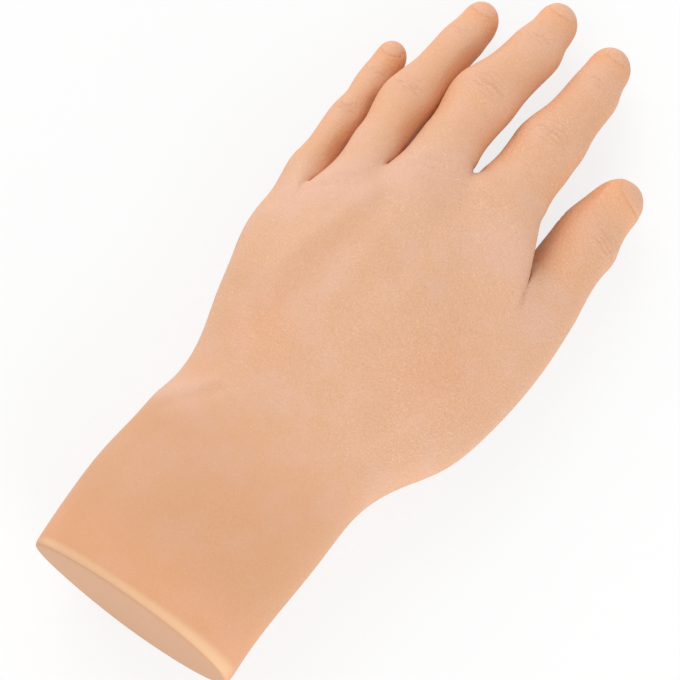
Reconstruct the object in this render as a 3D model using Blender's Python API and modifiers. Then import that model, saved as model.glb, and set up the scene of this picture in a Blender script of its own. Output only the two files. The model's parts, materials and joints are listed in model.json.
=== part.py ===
"""Posable left hand: a silicone skin over a riveted steel armature.

The hand lies palm down. +Y runs from the wrist cut to the fingertips, +X points to the thumb side and
+Z out of the back of the hand. The skin of the real hand is one casting that bends at its joints, so
here it is one solid for each stretch that stays rigid.
"""

import math

import bmesh
import bpy
from mathutils import Matrix, Vector

MM = 0.001

# Palm and wrist, from the wrist cut to the web between the index and middle fingers. The wrist's narrow
# part, the heel of the hand and its broadest part are set from that web.
PALM_LENGTH = 163 * MM
WRIST_WIDTH = 67 * MM
WRIST_DEPTH = 42.2 * MM
WRIST_SKEW = math.radians(3.1)
NARROW_BEHIND = 102 * MM
NARROW_WIDTH = 64.6 * MM
HEEL_BEHIND = 76 * MM
BROAD_BEHIND = 53 * MM
BACK_HEIGHT = 42 * MM
REST_GAP = 0.8 * MM

# Thumb mound: a start beside the wrist and two points set from the thumb's first hinge, with radii
MOUND_START = Vector((18 * MM, PALM_LENGTH - NARROW_BEHIND, 16 * MM))
MOUND_MIDDLE = Vector((-5, -53, -2.5)) * MM
MOUND_END = Vector((0.5, -23, -2)) * MM
MOUND_RADII = (9 * MM, 15 * MM, 15 * MM)

# Finger skins
ROOT_OVERLAP = 12 * MM
KNUCKLE_BLEND = 10 * MM
TIP_ROUNDING = 1.25
TIP_FULLNESS = 0.96
TIP_STEPS = (0.35, 0.62, 0.82, 0.94, 1.0)

# Gaps between neighbouring finger roots. The little finger tucks under the ring finger.
INDEX_MIDDLE_GAP = 3.2 * MM
MIDDLE_RING_GAP = 0.3 * MM
RING_LITTLE_TUCK = 3.2 * MM
THUMB_GAP = 3 * MM
INDEX_ACROSS = 11.3 * MM

# Armature
LINK_WIDTH = 4.8 * MM
LINK_DEPTH = 5.2 * MM
TONGUE_WIDTH = 1.8 * MM
PIN_DIAMETER = 2 * MM
PIN_HEAD_DIAMETER = PIN_DIAMETER + 1.6 * MM
PIN_HEAD_HEIGHT = 0.6 * MM
TIP_COVER = 6 * MM
PLATE_THICKNESS = 2.5 * MM
PLATE_HEIGHT = 21 * MM
PLATE_MARGIN = 1 * MM
FORK_LENGTH = 8 * MM
NECK_DIAMETER = 5 * MM
FOOT_LENGTH = 14 * MM
FOOT_WIDTH = 9 * MM
FOOT_THICKNESS = 2.5 * MM
FOOT_OVERHANG = 6 * MM
RIVET_DIAMETER = 3 * MM
RIVET_HEAD_DIAMETER = RIVET_DIAMETER + 2.4 * MM
RIVET_HEAD_HEIGHT = 1 * MM
STEM_DIAMETER = 8 * MM
STEM_COVER = 8 * MM
STEM_LENGTH = 52 * MM
STEM_LAP = 16 * MM

# Clearances
RUN_GAP = 0.3 * MM
SKIN_GAP = 0.4 * MM
CUT_GAP = 0.2 * MM
SIDE_GAP = 0.6 * MM
SPARE_ANGLE = math.radians(0.5)
MERGE = 0.001 * MM

# Facets
SECTION_SIDES = 16
PALM_SIDES = 28
ROUND_SIDES = 10
END_FACETS = 4
EVEN_SECTIONS = 12

LINK_END = LINK_DEPTH / 2
SHOULDER = LINK_END + 3 * RUN_GAP
CAVITY_RADIUS = LINK_END + SKIN_GAP + RUN_GAP
CAVITY_LENGTH = LINK_WIDTH + 2 * (RUN_GAP + PIN_HEAD_HEIGHT + SKIN_GAP)
PLATE_TOP = PLATE_HEIGHT + PLATE_THICKNESS
PLATE_MIDDLE = PLATE_HEIGHT + PLATE_THICKNESS / 2
FORK_END = Vector((-FORK_LENGTH, 0))
UP = Vector((0, 0, 1))

# Cutters reach at least this far past what they cut
FAR = 60 * MM
SEGMENT_REACH = 15 * MM
ROOT_REACH = 45 * MM
RIVET_REACH = 12 * MM

SILICONE = ("silicone", (0.79, 0.47, 0.29), 0.62, 0.0)
STEEL = ("steel", (0.56, 0.57, 0.58), 0.34, 1.0)
PIN_STEEL = ("pin_steel", (0.46, 0.46, 0.47), 0.28, 1.0)

# Each finger: how far its first hinge lies behind the end of the palm, the hinge's height, the way it
# points, its roll about that way, its segments' lengths and dips below level, its widths and depths at
# the root, the knuckles and the nail, each joint's range in degrees, where its bracket's foot is, and how
# far the palm is cut back beside its root, towards the little finger and towards the thumb.
FINGERS = {
    "index": {
        "behind": 2, "height": 26, "yaw": -0.3, "roll": 4,
        "lengths": (25.5, 26.9, 21.0), "dips": (11, 15, 17),
        "widths": (21.8, 20.4, 15.9, 13.6), "depths": (20.0, 17.6, 13.6, 11.6),
        "ranges": ((-10, 45), (-5, 75), (-5, 45)), "foot": (-3, -26), "beside": (3, 8),
    },
    "middle": {
        "behind": 3, "height": 27, "yaw": 0.5, "roll": 9,
        "lengths": (25.5, 27.4, 22.4), "dips": (11, 17, 16),
        "widths": (19.6, 19.0, 15.6, 13.2), "depths": (20.0, 17.6, 13.6, 11.6),
        "ranges": ((-10, 45), (-5, 75), (-5, 45)), "foot": (2.5, -26), "beside": (3, 3),
    },
    "ring": {
        "behind": 17, "height": 24.5, "yaw": -1.8, "roll": 15,
        "lengths": (26.1, 28.6, 19.0), "dips": (15, 13, 13),
        "widths": (15.0, 15.2, 13.2, 11.4), "depths": (17.5, 15.6, 12.4, 10.8),
        "ranges": ((-10, 45), (-5, 75), (-5, 45)), "foot": (4, -25), "beside": (3, 0),
    },
    "little": {
        "behind": 32, "height": 17.5, "yaw": -5.0, "roll": 17,
        "lengths": (26.5, 17.5, 15.8), "dips": (13, 13, 9),
        "widths": (12.2, 11.4, 10.4, 9.6), "depths": (14.5, 12.4, 10.4, 9.4),
        "ranges": ((0, 45), (-5, 70), (-5, 45)), "foot": (6.5, -22), "beside": (14, 0),
    },
    "thumb": {
        "behind": 17, "height": 17, "yaw": 5.0, "roll": -38,
        "lengths": (27.5, 25.0), "dips": (6, 5),
        "widths": (23.4, 20.6, 17.4), "depths": (20.5, 17.4, 13.8),
        "ranges": ((-20, 8), (-10, 40)), "foot": (-11, -25), "beside": (0, 24),
    },
}
SEGMENTS = ("base", "mid", "tip")


def clear_scene():
    for old in list(bpy.data.objects):
        bpy.data.objects.remove(old)


def new_collection(name):
    collection = bpy.data.collections.new(name)
    bpy.context.scene.collection.children.link(collection)
    return collection


def finish(kind):
    """A material of the given colour, roughness and metallic value, one for each object."""
    name, colour, roughness, metallic = kind
    material = bpy.data.materials.new(name)
    material.use_nodes = True
    shader = material.node_tree.nodes["Principled BSDF"]
    shader.inputs["Base Color"].default_value = (*colour, 1)
    shader.inputs["Roughness"].default_value = roughness
    shader.inputs["Metallic"].default_value = metallic
    return material


def new_pivot(name, place, parent):
    """An empty on a joint's axis. It keeps its place in the hand's frame, for the pieces that hang on it."""
    pivot = bpy.data.objects.new(name, None)
    pivot.empty_display_size = LINK_DEPTH
    PARTS.objects.link(pivot)
    PLACES[pivot.name] = place
    pivot.parent = parent
    pivot.location = place - PLACES[parent.name] if parent else place
    return pivot


def new_piece(name, mesh, pivot, kind):
    """A named piece from a mesh in the hand's frame, hung on its pivot."""
    piece = bpy.data.objects.new(name, mesh)
    PARTS.objects.link(piece)
    hang(piece, pivot)
    mesh.materials.append(finish(kind))
    return piece


def new_cutter(mesh):
    cutter = bpy.data.objects.new("cutter", mesh)
    CUTTERS.objects.link(cutter)
    cutter.hide_render = True
    cutter.display_type = "WIRE"
    hang(cutter, ROOT)
    return cutter


def hang(piece, pivot):
    piece.data.transform(Matrix.Translation(-PLACES[pivot.name]))
    piece.parent = pivot


def combine(piece, operation, mesh):
    modifier = piece.modifiers.new(operation.lower(), "BOOLEAN")
    modifier.operation = operation
    modifier.solver = "EXACT"
    modifier.object = new_cutter(mesh)


def frame_of(origin, along, up):
    """A frame at origin: local X along, local Z across, local Y as near to up as it can be."""
    x_axis = along.normalized()
    z_axis = x_axis.cross(up).normalized()
    y_axis = z_axis.cross(x_axis)
    turn = Matrix((x_axis, y_axis, z_axis)).transposed().to_4x4()
    return Matrix.Translation(origin) @ turn


def mesh_from(shape):
    bmesh.ops.recalc_face_normals(shape, faces=shape.faces)
    mesh = bpy.data.meshes.new("shape")
    shape.to_mesh(mesh)
    shape.free()
    return mesh


def slab(outline, thickness, frame, rise=0.0):
    """A flat outline thickened along the frame's local Z, with its middle at the height rise."""
    curve = bpy.data.curves.new("outline", "CURVE")
    curve.dimensions = "2D"
    curve.fill_mode = "BOTH"
    curve.extrude = thickness / 2
    spline = curve.splines.new("POLY")
    spline.points.add(len(outline) - 1)
    for point, (x, y) in zip(spline.points, outline):
        point.co = (x, y, 0, 1)
    spline.use_cyclic_u = True
    drawn = bpy.data.objects.new("outline", curve)
    bpy.context.scene.collection.objects.link(drawn)
    graph = bpy.context.evaluated_depsgraph_get()
    mesh = bpy.data.meshes.new_from_object(drawn.evaluated_get(graph))
    bpy.data.objects.remove(drawn)
    bpy.data.curves.remove(curve)
    shape = bmesh.new()
    shape.from_mesh(mesh)
    bpy.data.meshes.remove(mesh)
    bmesh.ops.remove_doubles(shape, verts=shape.verts, dist=MERGE)
    bmesh.ops.transform(shape, matrix=frame @ Matrix.Translation((0, 0, rise)), verts=shape.verts)
    return mesh_from(shape)


def rod(start, end, diameter):
    """A round bar from start to end."""
    shape = bmesh.new()
    way = end - start
    turn = way.to_track_quat("Z", "Y").to_matrix().to_4x4()
    bmesh.ops.create_cone(
        shape, cap_ends=True, segments=ROUND_SIDES, radius1=diameter / 2, radius2=diameter / 2,
        depth=way.length, matrix=Matrix.Translation((start + end) / 2) @ turn,
    )
    return mesh_from(shape)


def block(size, frame):
    shape = bmesh.new()
    bmesh.ops.create_cube(shape, size=1, matrix=frame @ Matrix.Diagonal((*size, 1)))
    return mesh_from(shape)


def bar_outline(start, end, radius):
    """A bar's side view with round ends, as points in its own plane."""
    way = (end - start).angle_signed(Vector((1, 0)))
    points = []
    for centre, turn in ((end, way - math.pi / 2), (start, way + math.pi / 2)):
        for step in range(END_FACETS + 1):
            angle = turn + math.pi * step / END_FACETS
            points.append((centre.x + radius * math.cos(angle), centre.y + radius * math.sin(angle)))
    return points


def grown(outline, margin):
    """A counter-clockwise outline with each side moved outwards by the margin."""
    points = [Vector(point) for point in outline]
    moved = []
    for index, here in enumerate(points):
        before = (here - points[index - 1]).normalized()
        after = (points[(index + 1) % len(points)] - here).normalized()
        out_before = Vector((before.y, -before.x))
        out_after = Vector((after.y, -after.x))
        mitre = (out_before + out_after).normalized()
        moved.append(here + mitre * (margin / mitre.dot(out_before)))
    return moved


def loft(rings):
    """A closed skin through rings of as many points each, capped at both ends."""
    shape = bmesh.new()
    loops = []
    for ring in rings:
        loops.append([shape.verts.new(point) for point in ring])
    for near, far in zip(loops, loops[1:]):
        for side in range(len(near)):
            turn = (side + 1) % len(near)
            shape.faces.new((near[side], near[turn], far[turn], far[side]))
    shape.faces.new(loops[0])
    shape.faces.new(loops[-1])
    return mesh_from(shape)


def turned_pin(name, length, diameter, head_diameter, head_height):
    """A pin's half profile from top to bottom, for a Screw modifier about local Z."""
    top = length / 2
    shaft_top = top - head_height
    head = head_diameter / 2
    shaft = diameter / 2
    profile = (
        (0, top), (head, top), (head, shaft_top), (shaft, shaft_top),
        (shaft, -shaft_top), (head, -shaft_top), (head, -top), (0, -top),
    )
    mesh = bpy.data.meshes.new(name)
    shape = bmesh.new()
    points = [shape.verts.new((radius, 0, height)) for radius, height in profile]
    for upper, lower in zip(points, points[1:]):
        shape.edges.new((upper, lower))
    shape.to_mesh(mesh)
    shape.free()
    return mesh


def new_pin(name, mesh, centre, axis, pivot, kind):
    pin = bpy.data.objects.new(name, mesh.copy())
    PARTS.objects.link(pin)
    pin.data.materials.append(finish(kind))
    pin.parent = pivot
    pin.location = centre - PLACES[pivot.name]
    pin.rotation_euler = axis.to_track_quat("Z", "Y").to_euler()
    screw = pin.modifiers.new("turn", "SCREW")
    screw.steps = ROUND_SIDES
    screw.render_steps = ROUND_SIDES
    screw.use_merge_vertices = True
    screw.merge_threshold = MERGE
    return pin


def eased(value):
    value = min(max(value, 0), 1)
    return value * value * (3 - 2 * value)


def along_stations(value, stations, sizes):
    """A size that eases from one station to the next, and stays at the end ones outside them."""
    for low, high, first, last in zip(stations, stations[1:], sizes, sizes[1:]):
        if value <= high:
            return first + (last - first) * eased((value - low) / (high - low))
    return sizes[-1]


class Finger:
    """One finger's hinges, widths and frame. Its plane is local X forwards and local Y to its back."""

    def __init__(self, name, spec, across):
        self.name = name
        self.lengths = [length * MM for length in spec["lengths"]]
        self.dips = [math.radians(dip) for dip in spec["dips"]]
        self.widths = [width * MM for width in spec["widths"]]
        self.depths = [depth * MM for depth in spec["depths"]]
        self.ranges = [(math.radians(low), math.radians(high)) for low, high in spec["ranges"]]
        self.segments = SEGMENTS if len(self.lengths) == len(SEGMENTS) else (SEGMENTS[0], SEGMENTS[-1])
        yaw = math.radians(spec["yaw"])
        roll = math.radians(spec["roll"])
        self.root = Vector((across, PALM_LENGTH - spec["behind"] * MM, spec["height"] * MM))
        forward = Vector((math.sin(yaw), math.cos(yaw), 0))
        right = Vector((math.cos(yaw), -math.sin(yaw), 0))
        back = UP * math.cos(roll) - right * math.sin(roll)
        self.frame = frame_of(self.root, forward, back)
        self.across = self.frame.to_3x3().col[2]
        self.hinges = [Vector((0, 0))]
        self.runs = [0.0]
        for length, dip in zip(self.lengths, self.dips):
            step = Vector((math.cos(dip), -math.sin(dip))) * length
            self.hinges.append(self.hinges[-1] + step)
            self.runs.append(self.runs[-1] + length)
        self.tip_round = TIP_ROUNDING * self.widths[-1] / 2
        self.beside = [reach * MM + SIDE_GAP for reach in spec["beside"]]
        foot_x, foot_y = spec["foot"]
        self.foot = Vector((self.root.x + foot_x * MM, self.root.y + foot_y * MM, PLATE_TOP))

    def world(self, point):
        return self.frame @ Vector((point.x, point.y, 0))

    def section(self, run):
        """The skin's outline where the middle line has run this far from the first hinge."""
        knuckles = self.runs[1:-1]
        segment = sum(1 for knuckle in knuckles if run > knuckle)
        dip = self.dips[segment]
        way = Vector((math.cos(dip), -math.sin(dip)))
        point = self.hinges[segment] + way * (run - self.runs[segment])
        tilt = self.dips[0]
        for index, knuckle in enumerate(knuckles):
            lean = eased((run - knuckle) / KNUCKLE_BLEND + 0.5)
            tilt += (self.dips[index + 1] - self.dips[index]) * lean
        nail = (self.runs[-2] + self.runs[-1]) / 2
        stations = self.runs[:-1] + [nail]
        half_width = along_stations(run, stations, self.widths) / 2
        half_depth = along_stations(run, stations, self.depths) / 2
        past = max(0.0, (run - self.runs[-1]) / self.tip_round + 1)
        shrink = math.sqrt(1 - TIP_FULLNESS * past * past)
        up = Vector((math.sin(tilt), math.cos(tilt)))
        ring = []
        for index in range(SECTION_SIDES):
            angle = 2 * math.pi * (index + 0.5) / SECTION_SIDES
            rise = half_depth * shrink * math.sin(angle)
            spot = point + up * rise
            ring.append(self.frame @ Vector((spot.x, spot.y, half_width * shrink * math.cos(angle))))
        return ring

    def skin(self):
        """The whole finger, from inside the palm to the fingertip."""
        straight = self.runs[-1] - self.tip_round
        stops = [-ROOT_OVERLAP]
        for index in range(EVEN_SECTIONS):
            stops.append(straight * index / (EVEN_SECTIONS - 1))
        for share in TIP_STEPS:
            stops.append(straight + self.tip_round * share)
        return loft([self.section(stop) for stop in stops])

    def bisector(self, joint):
        """The level, in the finger's plane, midway between the two segments that meet at a hinge."""
        before = self.dips[joint - 1] if joint else self.dips[0]
        return (before + self.dips[joint]) / 2

    def edge(self, joint, side, reach):
        """The cut at a hinge: its back, apex and palm points, side -1 before the hinge and 1 after it."""
        low, high = self.ranges[joint]
        level = self.bisector(joint)
        forward = Vector((math.cos(level), -math.sin(level)))
        up = Vector((math.sin(level), math.cos(level)))
        centre = self.hinges[joint]
        apex = centre + forward * CUT_GAP * side
        back_lean = math.tan(-low / 2 + SPARE_ANGLE)
        palm_lean = math.tan(high / 2 + SPARE_ANGLE)
        back = apex + up * reach + forward * side * reach * back_lean
        palm = apex - up * reach + forward * side * reach * palm_lean
        return back, apex, palm

    def segment_zone(self, joint):
        """What a segment's skin may fill between its own hinge and the next, in the finger's plane."""
        back, apex, palm = self.edge(joint, 1, SEGMENT_REACH)
        if joint + 1 < len(self.lengths):
            return [palm, *self.edge(joint + 1, -1, SEGMENT_REACH)[::-1], back, apex]
        beyond = Vector((FAR, 0))
        return [palm, palm + beyond, back + beyond, back, apex]

    def root_zone(self):
        """What the palm leaves free for this finger to move in."""
        back, apex, palm = self.edge(0, -1, ROOT_REACH)
        beyond = Vector((2 * FAR, 0))
        return [palm, palm + beyond, back + beyond, back, apex]


def finger_set():
    """The fingers, side by side across the palm from the index finger."""
    half = {name: spec["widths"][0] * MM / 2 for name, spec in FINGERS.items()}
    across = {"index": INDEX_ACROSS}
    across["middle"] = INDEX_ACROSS - half["index"] - INDEX_MIDDLE_GAP - half["middle"]
    across["ring"] = across["middle"] - half["middle"] - MIDDLE_RING_GAP - half["ring"]
    across["little"] = across["ring"] - half["ring"] + RING_LITTLE_TUCK - half["little"]
    across["thumb"] = INDEX_ACROSS + half["index"] + THUMB_GAP + half["thumb"]
    return {name: Finger(name, spec, across[name]) for name, spec in FINGERS.items()}


def section_ring(place, left, right, bottom, top, square, skew=0.0):
    """A rounded cross-section of the palm, square to +Y or skewed about the vertical."""
    ring = []
    middle = Vector(((left + right) / 2, place, (bottom + top) / 2))
    for index in range(PALM_SIDES):
        angle = 2 * math.pi * (index + 0.5) / PALM_SIDES
        cosine = math.cos(angle)
        sine = math.sin(angle)
        x = (right - left) / 2 * math.copysign(abs(cosine) ** (2 / square), cosine)
        z = (top - bottom) / 2 * math.copysign(abs(sine) ** (2 / square), sine)
        ring.append(middle + Vector((x, x * math.tan(skew), z)))
    return ring


def palm_mesh(fingers):
    """The palm and wrist. Its front edges follow the roots of the index, ring and little fingers."""
    index_edge = fingers["index"].root.x + fingers["index"].widths[0] / 2
    little_edge = fingers["little"].root.x - fingers["little"].widths[0] / 2
    ring_edge = fingers["ring"].root.x - fingers["ring"].widths[0] / 2
    wrist = WRIST_WIDTH / 2
    narrow = NARROW_WIDTH / 2
    top = REST_GAP + WRIST_DEPTH
    front = PALM_LENGTH
    narrow_at = front - NARROW_BEHIND
    # Place along the hand, left and right edges, underside, back, how square, and skew
    sections = (
        (0, -wrist, wrist, REST_GAP, top, 2.3, WRIST_SKEW),
        (narrow_at / 2, -wrist - 0.5 * MM, wrist - MM, REST_GAP, top - 1.5 * MM, 2.3),
        (narrow_at, -narrow + 0.6 * MM, narrow + 0.6 * MM, REST_GAP, BACK_HEIGHT - 2 * MM, 2.3),
        (front - HEEL_BEHIND, little_edge + 9.5 * MM, index_edge + 15 * MM, 0, BACK_HEIGHT - MM, 2.4),
        (front - BROAD_BEHIND, little_edge + 3 * MM, index_edge + 14 * MM, MM, BACK_HEIGHT, 2.5),
        (front - 42 * MM, little_edge + 2.5 * MM, index_edge + 11 * MM, 4 * MM, BACK_HEIGHT, 2.5),
        (front - 25 * MM, ring_edge - 5 * MM, index_edge + 8 * MM, 8 * MM, BACK_HEIGHT - 2 * MM, 2.6),
        (front - 10 * MM, ring_edge, index_edge + 3.5 * MM, 10 * MM, BACK_HEIGHT - 4 * MM, 2.7),
        (front + 4 * MM, ring_edge + 2 * MM, index_edge, 14 * MM, BACK_HEIGHT - 7 * MM, 2.7),
    )
    return loft([section_ring(*section) for section in sections])


def mound_mesh(thumb):
    """The fleshy mound that carries the thumb, along a bent line to the thumb's first hinge."""
    stops = (MOUND_START, thumb.root + MOUND_MIDDLE, thumb.root + MOUND_END)
    rings = []
    for stop, radius in zip(stops, MOUND_RADII):
        ring = []
        for index in range(SECTION_SIDES):
            angle = 2 * math.pi * (index + 0.5) / SECTION_SIDES
            spot = thumb.frame.to_3x3() @ Vector((0, radius * math.sin(angle), radius * math.cos(angle)))
            ring.append(stop + spot)
        rings.append(ring)
    before_hinge = thumb.section(-2 * MM)
    past_hinge = thumb.section(6 * MM)
    return loft([*rings, before_hinge, past_hinge])


def build_links(finger, pivots):
    """The finger's links, each a bar with a tongue at its near hinge and a fork at its far one."""
    frame = finger.frame
    for joint, segment in enumerate(finger.segments):
        start = finger.hinges[joint]
        end = finger.hinges[joint + 1]
        last = joint + 1 == len(finger.segments)
        way = (end - start).normalized()
        if last:
            end = end - way * (TIP_COVER + LINK_END)
        name = f"{finger.name}_{segment}_link"
        outline = bar_outline(start, end, LINK_END)
        link = new_piece(name, slab(outline, LINK_WIDTH, frame), pivots[joint], STEEL)
        near = finger_cut(start, way, -LINK_DEPTH, SHOULDER)
        side = (LINK_WIDTH - TONGUE_WIDTH) / 2 + RUN_GAP
        for sign in (-1, 1):
            combine(link, "DIFFERENCE", slab(near, side, frame, sign * (TONGUE_WIDTH + side) / 2))
        cut_hole(link, finger, start)
        if not last:
            far = finger_cut(end, way, -SHOULDER, LINK_DEPTH)
            combine(link, "DIFFERENCE", slab(far, TONGUE_WIDTH + 2 * RUN_GAP, frame))
            cut_hole(link, finger, end)


def finger_cut(centre, way, low, high):
    """A square outline about a hinge, from low to high along the bar."""
    across = Vector((-way.y, way.x)) * LINK_DEPTH
    return [centre + way * low - across, centre + way * high - across,
            centre + way * high + across, centre + way * low + across]


def cut_hole(piece, finger, hinge):
    reach = finger.across * LINK_WIDTH
    centre = finger.world(hinge)
    combine(piece, "DIFFERENCE", rod(centre - reach, centre + reach, PIN_DIAMETER + 2 * RUN_GAP))


def cut_hinge_room(skin, finger, hinge):
    """The round hollow that a hinge turns in."""
    reach = finger.across * CAVITY_LENGTH / 2
    centre = finger.world(hinge)
    combine(skin, "DIFFERENCE", rod(centre - reach, centre + reach, 2 * CAVITY_RADIUS))


def build_finger_skins(finger, pivots):
    """The finger's skin, cut at each hinge and hollowed for the links."""
    room = LINK_WIDTH + 2 * SKIN_GAP
    for joint, segment in enumerate(finger.segments):
        skin = new_piece(f"{finger.name}_{segment}_skin", finger.skin(), pivots[joint], SILICONE)
        combine(skin, "INTERSECT", slab(finger.segment_zone(joint), FAR, finger.frame))
        start = finger.hinges[joint]
        end = finger.hinges[joint + 1]
        last = joint + 1 == len(finger.segments)
        if last:
            end = end - (end - start).normalized() * (TIP_COVER + LINK_END)
        channel = bar_outline(start, end, LINK_END + SKIN_GAP)
        combine(skin, "DIFFERENCE", slab(channel, room, finger.frame))
        cut_hinge_room(skin, finger, start)
        if not last:
            cut_hinge_room(skin, finger, end)


def foot_frame(finger):
    """The bracket's foot on the plate: local X towards the fork, local Z across."""
    way = finger.world(FORK_END) - finger.foot
    return frame_of(finger.foot, Vector((way.x, way.y, 0)), UP)


def foot_point(finger, along, rise):
    return foot_frame(finger) @ Vector((along, rise, 0))


def neck_ends(finger):
    """The neck's two ends, in the foot's overhang and in the fork."""
    foot = foot_point(finger, FOOT_OVERHANG - 0.3 * NECK_DIAMETER, RUN_GAP + FOOT_THICKNESS / 2)
    return foot, finger.world(FORK_END)


def rivet_place(finger):
    """The middle of the rivet that holds a foot to the plate."""
    middle = (RUN_GAP + FOOT_THICKNESS - PLATE_THICKNESS) / 2
    return foot_point(finger, -FOOT_LENGTH / 4, middle)


def build_bracket(finger, rivet_mesh):
    """A foot riveted to the plate, a round neck and a fork that holds the finger's first pin."""
    frame = finger.frame
    fork = bar_outline(FORK_END, finger.hinges[0], LINK_END)
    bracket = new_piece(f"{finger.name}_bracket", slab(fork, LINK_WIDTH, frame), ROOT, STEEL)
    near, far = neck_ends(finger)
    combine(bracket, "UNION", rod(near, far, NECK_DIAMETER))
    foot = foot_frame(finger)
    foot.translation = foot_point(finger, FOOT_OVERHANG - FOOT_LENGTH / 2, RUN_GAP + FOOT_THICKNESS / 2)
    combine(bracket, "UNION", block((FOOT_LENGTH, FOOT_THICKNESS, FOOT_WIDTH), foot))
    slot = finger_cut(finger.hinges[0], Vector((1, 0)), -SHOULDER, LINK_DEPTH)
    combine(bracket, "DIFFERENCE", slab(slot, TONGUE_WIDTH + 2 * RUN_GAP, frame))
    cut_hole(bracket, finger, finger.hinges[0])
    cut_rivet_hole(bracket, rivet_place(finger))
    new_pin(f"{finger.name}_bracket_rivet", rivet_mesh, rivet_place(finger), UP, ROOT, PIN_STEEL)


def cut_rivet_hole(piece, centre):
    reach = UP * RIVET_REACH
    combine(piece, "DIFFERENCE", rod(centre - reach, centre + reach, RIVET_DIAMETER + 2 * RUN_GAP))


def plate_outline(fingers):
    """The plate seen from above: a tab for the stem and a straight edge under each bracket's foot."""
    tab = 0.8 * STEM_DIAMETER
    tail = STEM_COVER + STEM_LENGTH - STEM_LAP + RUN_GAP
    points = [Vector((-tab, tail)), Vector((tab, tail)), Vector((tab, tail + STEM_LAP))]
    for name in ("thumb", "index", "middle", "ring", "little"):
        finger = fingers[name]
        frame = foot_frame(finger)
        front = frame.translation + frame.to_3x3().col[0] * PLATE_MARGIN
        side = frame.to_3x3().col[2] * (FOOT_WIDTH / 2 + PLATE_MARGIN)
        for corner in (front + side, front - side):
            points.append(Vector((corner.x, corner.y)))
    points.append(Vector((-tab, tail + STEM_LAP)))
    return points


def level_frame(height):
    return Matrix.Translation((0, 0, height))


def stem_ends():
    return Vector((0, STEM_COVER, PLATE_MIDDLE)), Vector((0, STEM_COVER + STEM_LENGTH, PLATE_MIDDLE))


def stem_rivet_place():
    return stem_ends()[1] - Vector((0, STEM_LAP / 2, 0))


def build_palm_frame(fingers):
    """The plate that carries the brackets, and the stem that straddles its tab."""
    outline = plate_outline(fingers)
    sheet = slab(outline, PLATE_THICKNESS, level_frame(PLATE_MIDDLE))
    plate = new_piece("palm_plate", sheet, ROOT, STEEL)
    for finger in fingers.values():
        cut_rivet_hole(plate, rivet_place(finger))
    start, end = stem_ends()
    stem = new_piece("wrist_stem", rod(start, end, STEM_DIAMETER), ROOT, STEEL)
    slot_size = (2 * STEM_DIAMETER, 2 * STEM_LAP, PLATE_THICKNESS + 2 * RUN_GAP)
    combine(stem, "DIFFERENCE", block(slot_size, Matrix.Translation(end)))
    rivet_at = stem_rivet_place()
    cut_rivet_hole(stem, rivet_at)
    cut_rivet_hole(plate, rivet_at)
    long_rivet = turned_pin(
        "stem_rivet", STEM_DIAMETER + 2 * (RUN_GAP + RIVET_HEAD_HEIGHT), RIVET_DIAMETER,
        RIVET_HEAD_DIAMETER, RIVET_HEAD_HEIGHT,
    )
    new_pin("stem_rivet", long_rivet, rivet_at, UP, ROOT, PIN_STEEL)


def build_palm_skin(fingers):
    """The palm and wrist skin, with room for the fingers' roots and for the armature."""
    skin = new_piece("palm_skin", palm_mesh(fingers), ROOT, SILICONE)
    combine(skin, "UNION", mound_mesh(fingers["thumb"]))
    for finger in fingers.values():
        left, right = finger.beside
        room = left + max(finger.widths) + right
        shift = (right - left) / 2
        combine(skin, "DIFFERENCE", slab(finger.root_zone(), room, finger.frame, shift))
    head = RIVET_HEAD_HEIGHT + RUN_GAP + SKIN_GAP
    low = PLATE_HEIGHT - head
    high = PLATE_TOP + SKIN_GAP
    room = grown(plate_outline(fingers), SKIN_GAP)
    combine(skin, "DIFFERENCE", slab(room, high - low, level_frame((low + high) / 2)))
    for finger in fingers.values():
        foot = foot_frame(finger)
        tall = RUN_GAP + FOOT_THICKNESS + head
        foot.translation = foot_point(finger, FOOT_OVERHANG - FOOT_LENGTH / 2, tall / 2 - SKIN_GAP / 2)
        size = (FOOT_LENGTH + 2 * SKIN_GAP, tall + SKIN_GAP, FOOT_WIDTH + 2 * SKIN_GAP)
        combine(skin, "DIFFERENCE", block(size, foot))
        near, far = neck_ends(finger)
        reach = (far - near).normalized() * SKIN_GAP
        combine(skin, "DIFFERENCE", rod(near - reach, far + reach, NECK_DIAMETER + 2 * SKIN_GAP))
        fork = bar_outline(FORK_END, finger.hinges[0], LINK_END + SKIN_GAP)
        combine(skin, "DIFFERENCE", slab(fork, LINK_WIDTH + 2 * SKIN_GAP, finger.frame))
        cut_hinge_room(skin, finger, finger.hinges[0])
    start, end = stem_ends()
    reach = Vector((0, SKIN_GAP, 0))
    combine(skin, "DIFFERENCE", rod(start - reach, end + reach, STEM_DIAMETER + 2 * SKIN_GAP))
    rivet_at = stem_rivet_place()
    rise = UP * (STEM_DIAMETER / 2 + head)
    combine(skin, "DIFFERENCE", rod(rivet_at - rise, rivet_at + rise, RIVET_HEAD_DIAMETER + 2 * SKIN_GAP))


def stand_on_origin():
    """Moves the whole hand so that the middle of its box lies over the origin and it rests at zero."""
    bpy.context.view_layer.update()
    graph = bpy.context.evaluated_depsgraph_get()
    corners = []
    for piece in PARTS.objects:
        if piece.type == "MESH":
            solid = piece.evaluated_get(graph)
            corners.extend(solid.matrix_world @ vertex.co for vertex in solid.data.vertices)
    low = Vector(min(corner[axis] for corner in corners) for axis in range(3))
    high = Vector(max(corner[axis] for corner in corners) for axis in range(3))
    ROOT.location -= Vector(((low.x + high.x) / 2, (low.y + high.y) / 2, low.z))


clear_scene()
PARTS = new_collection("hand_mannequin")
CUTTERS = new_collection("cutters")
PLACES = {}
ROOT = new_pivot("hand_pivot", Vector((0, 0, 0)), None)

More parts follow.
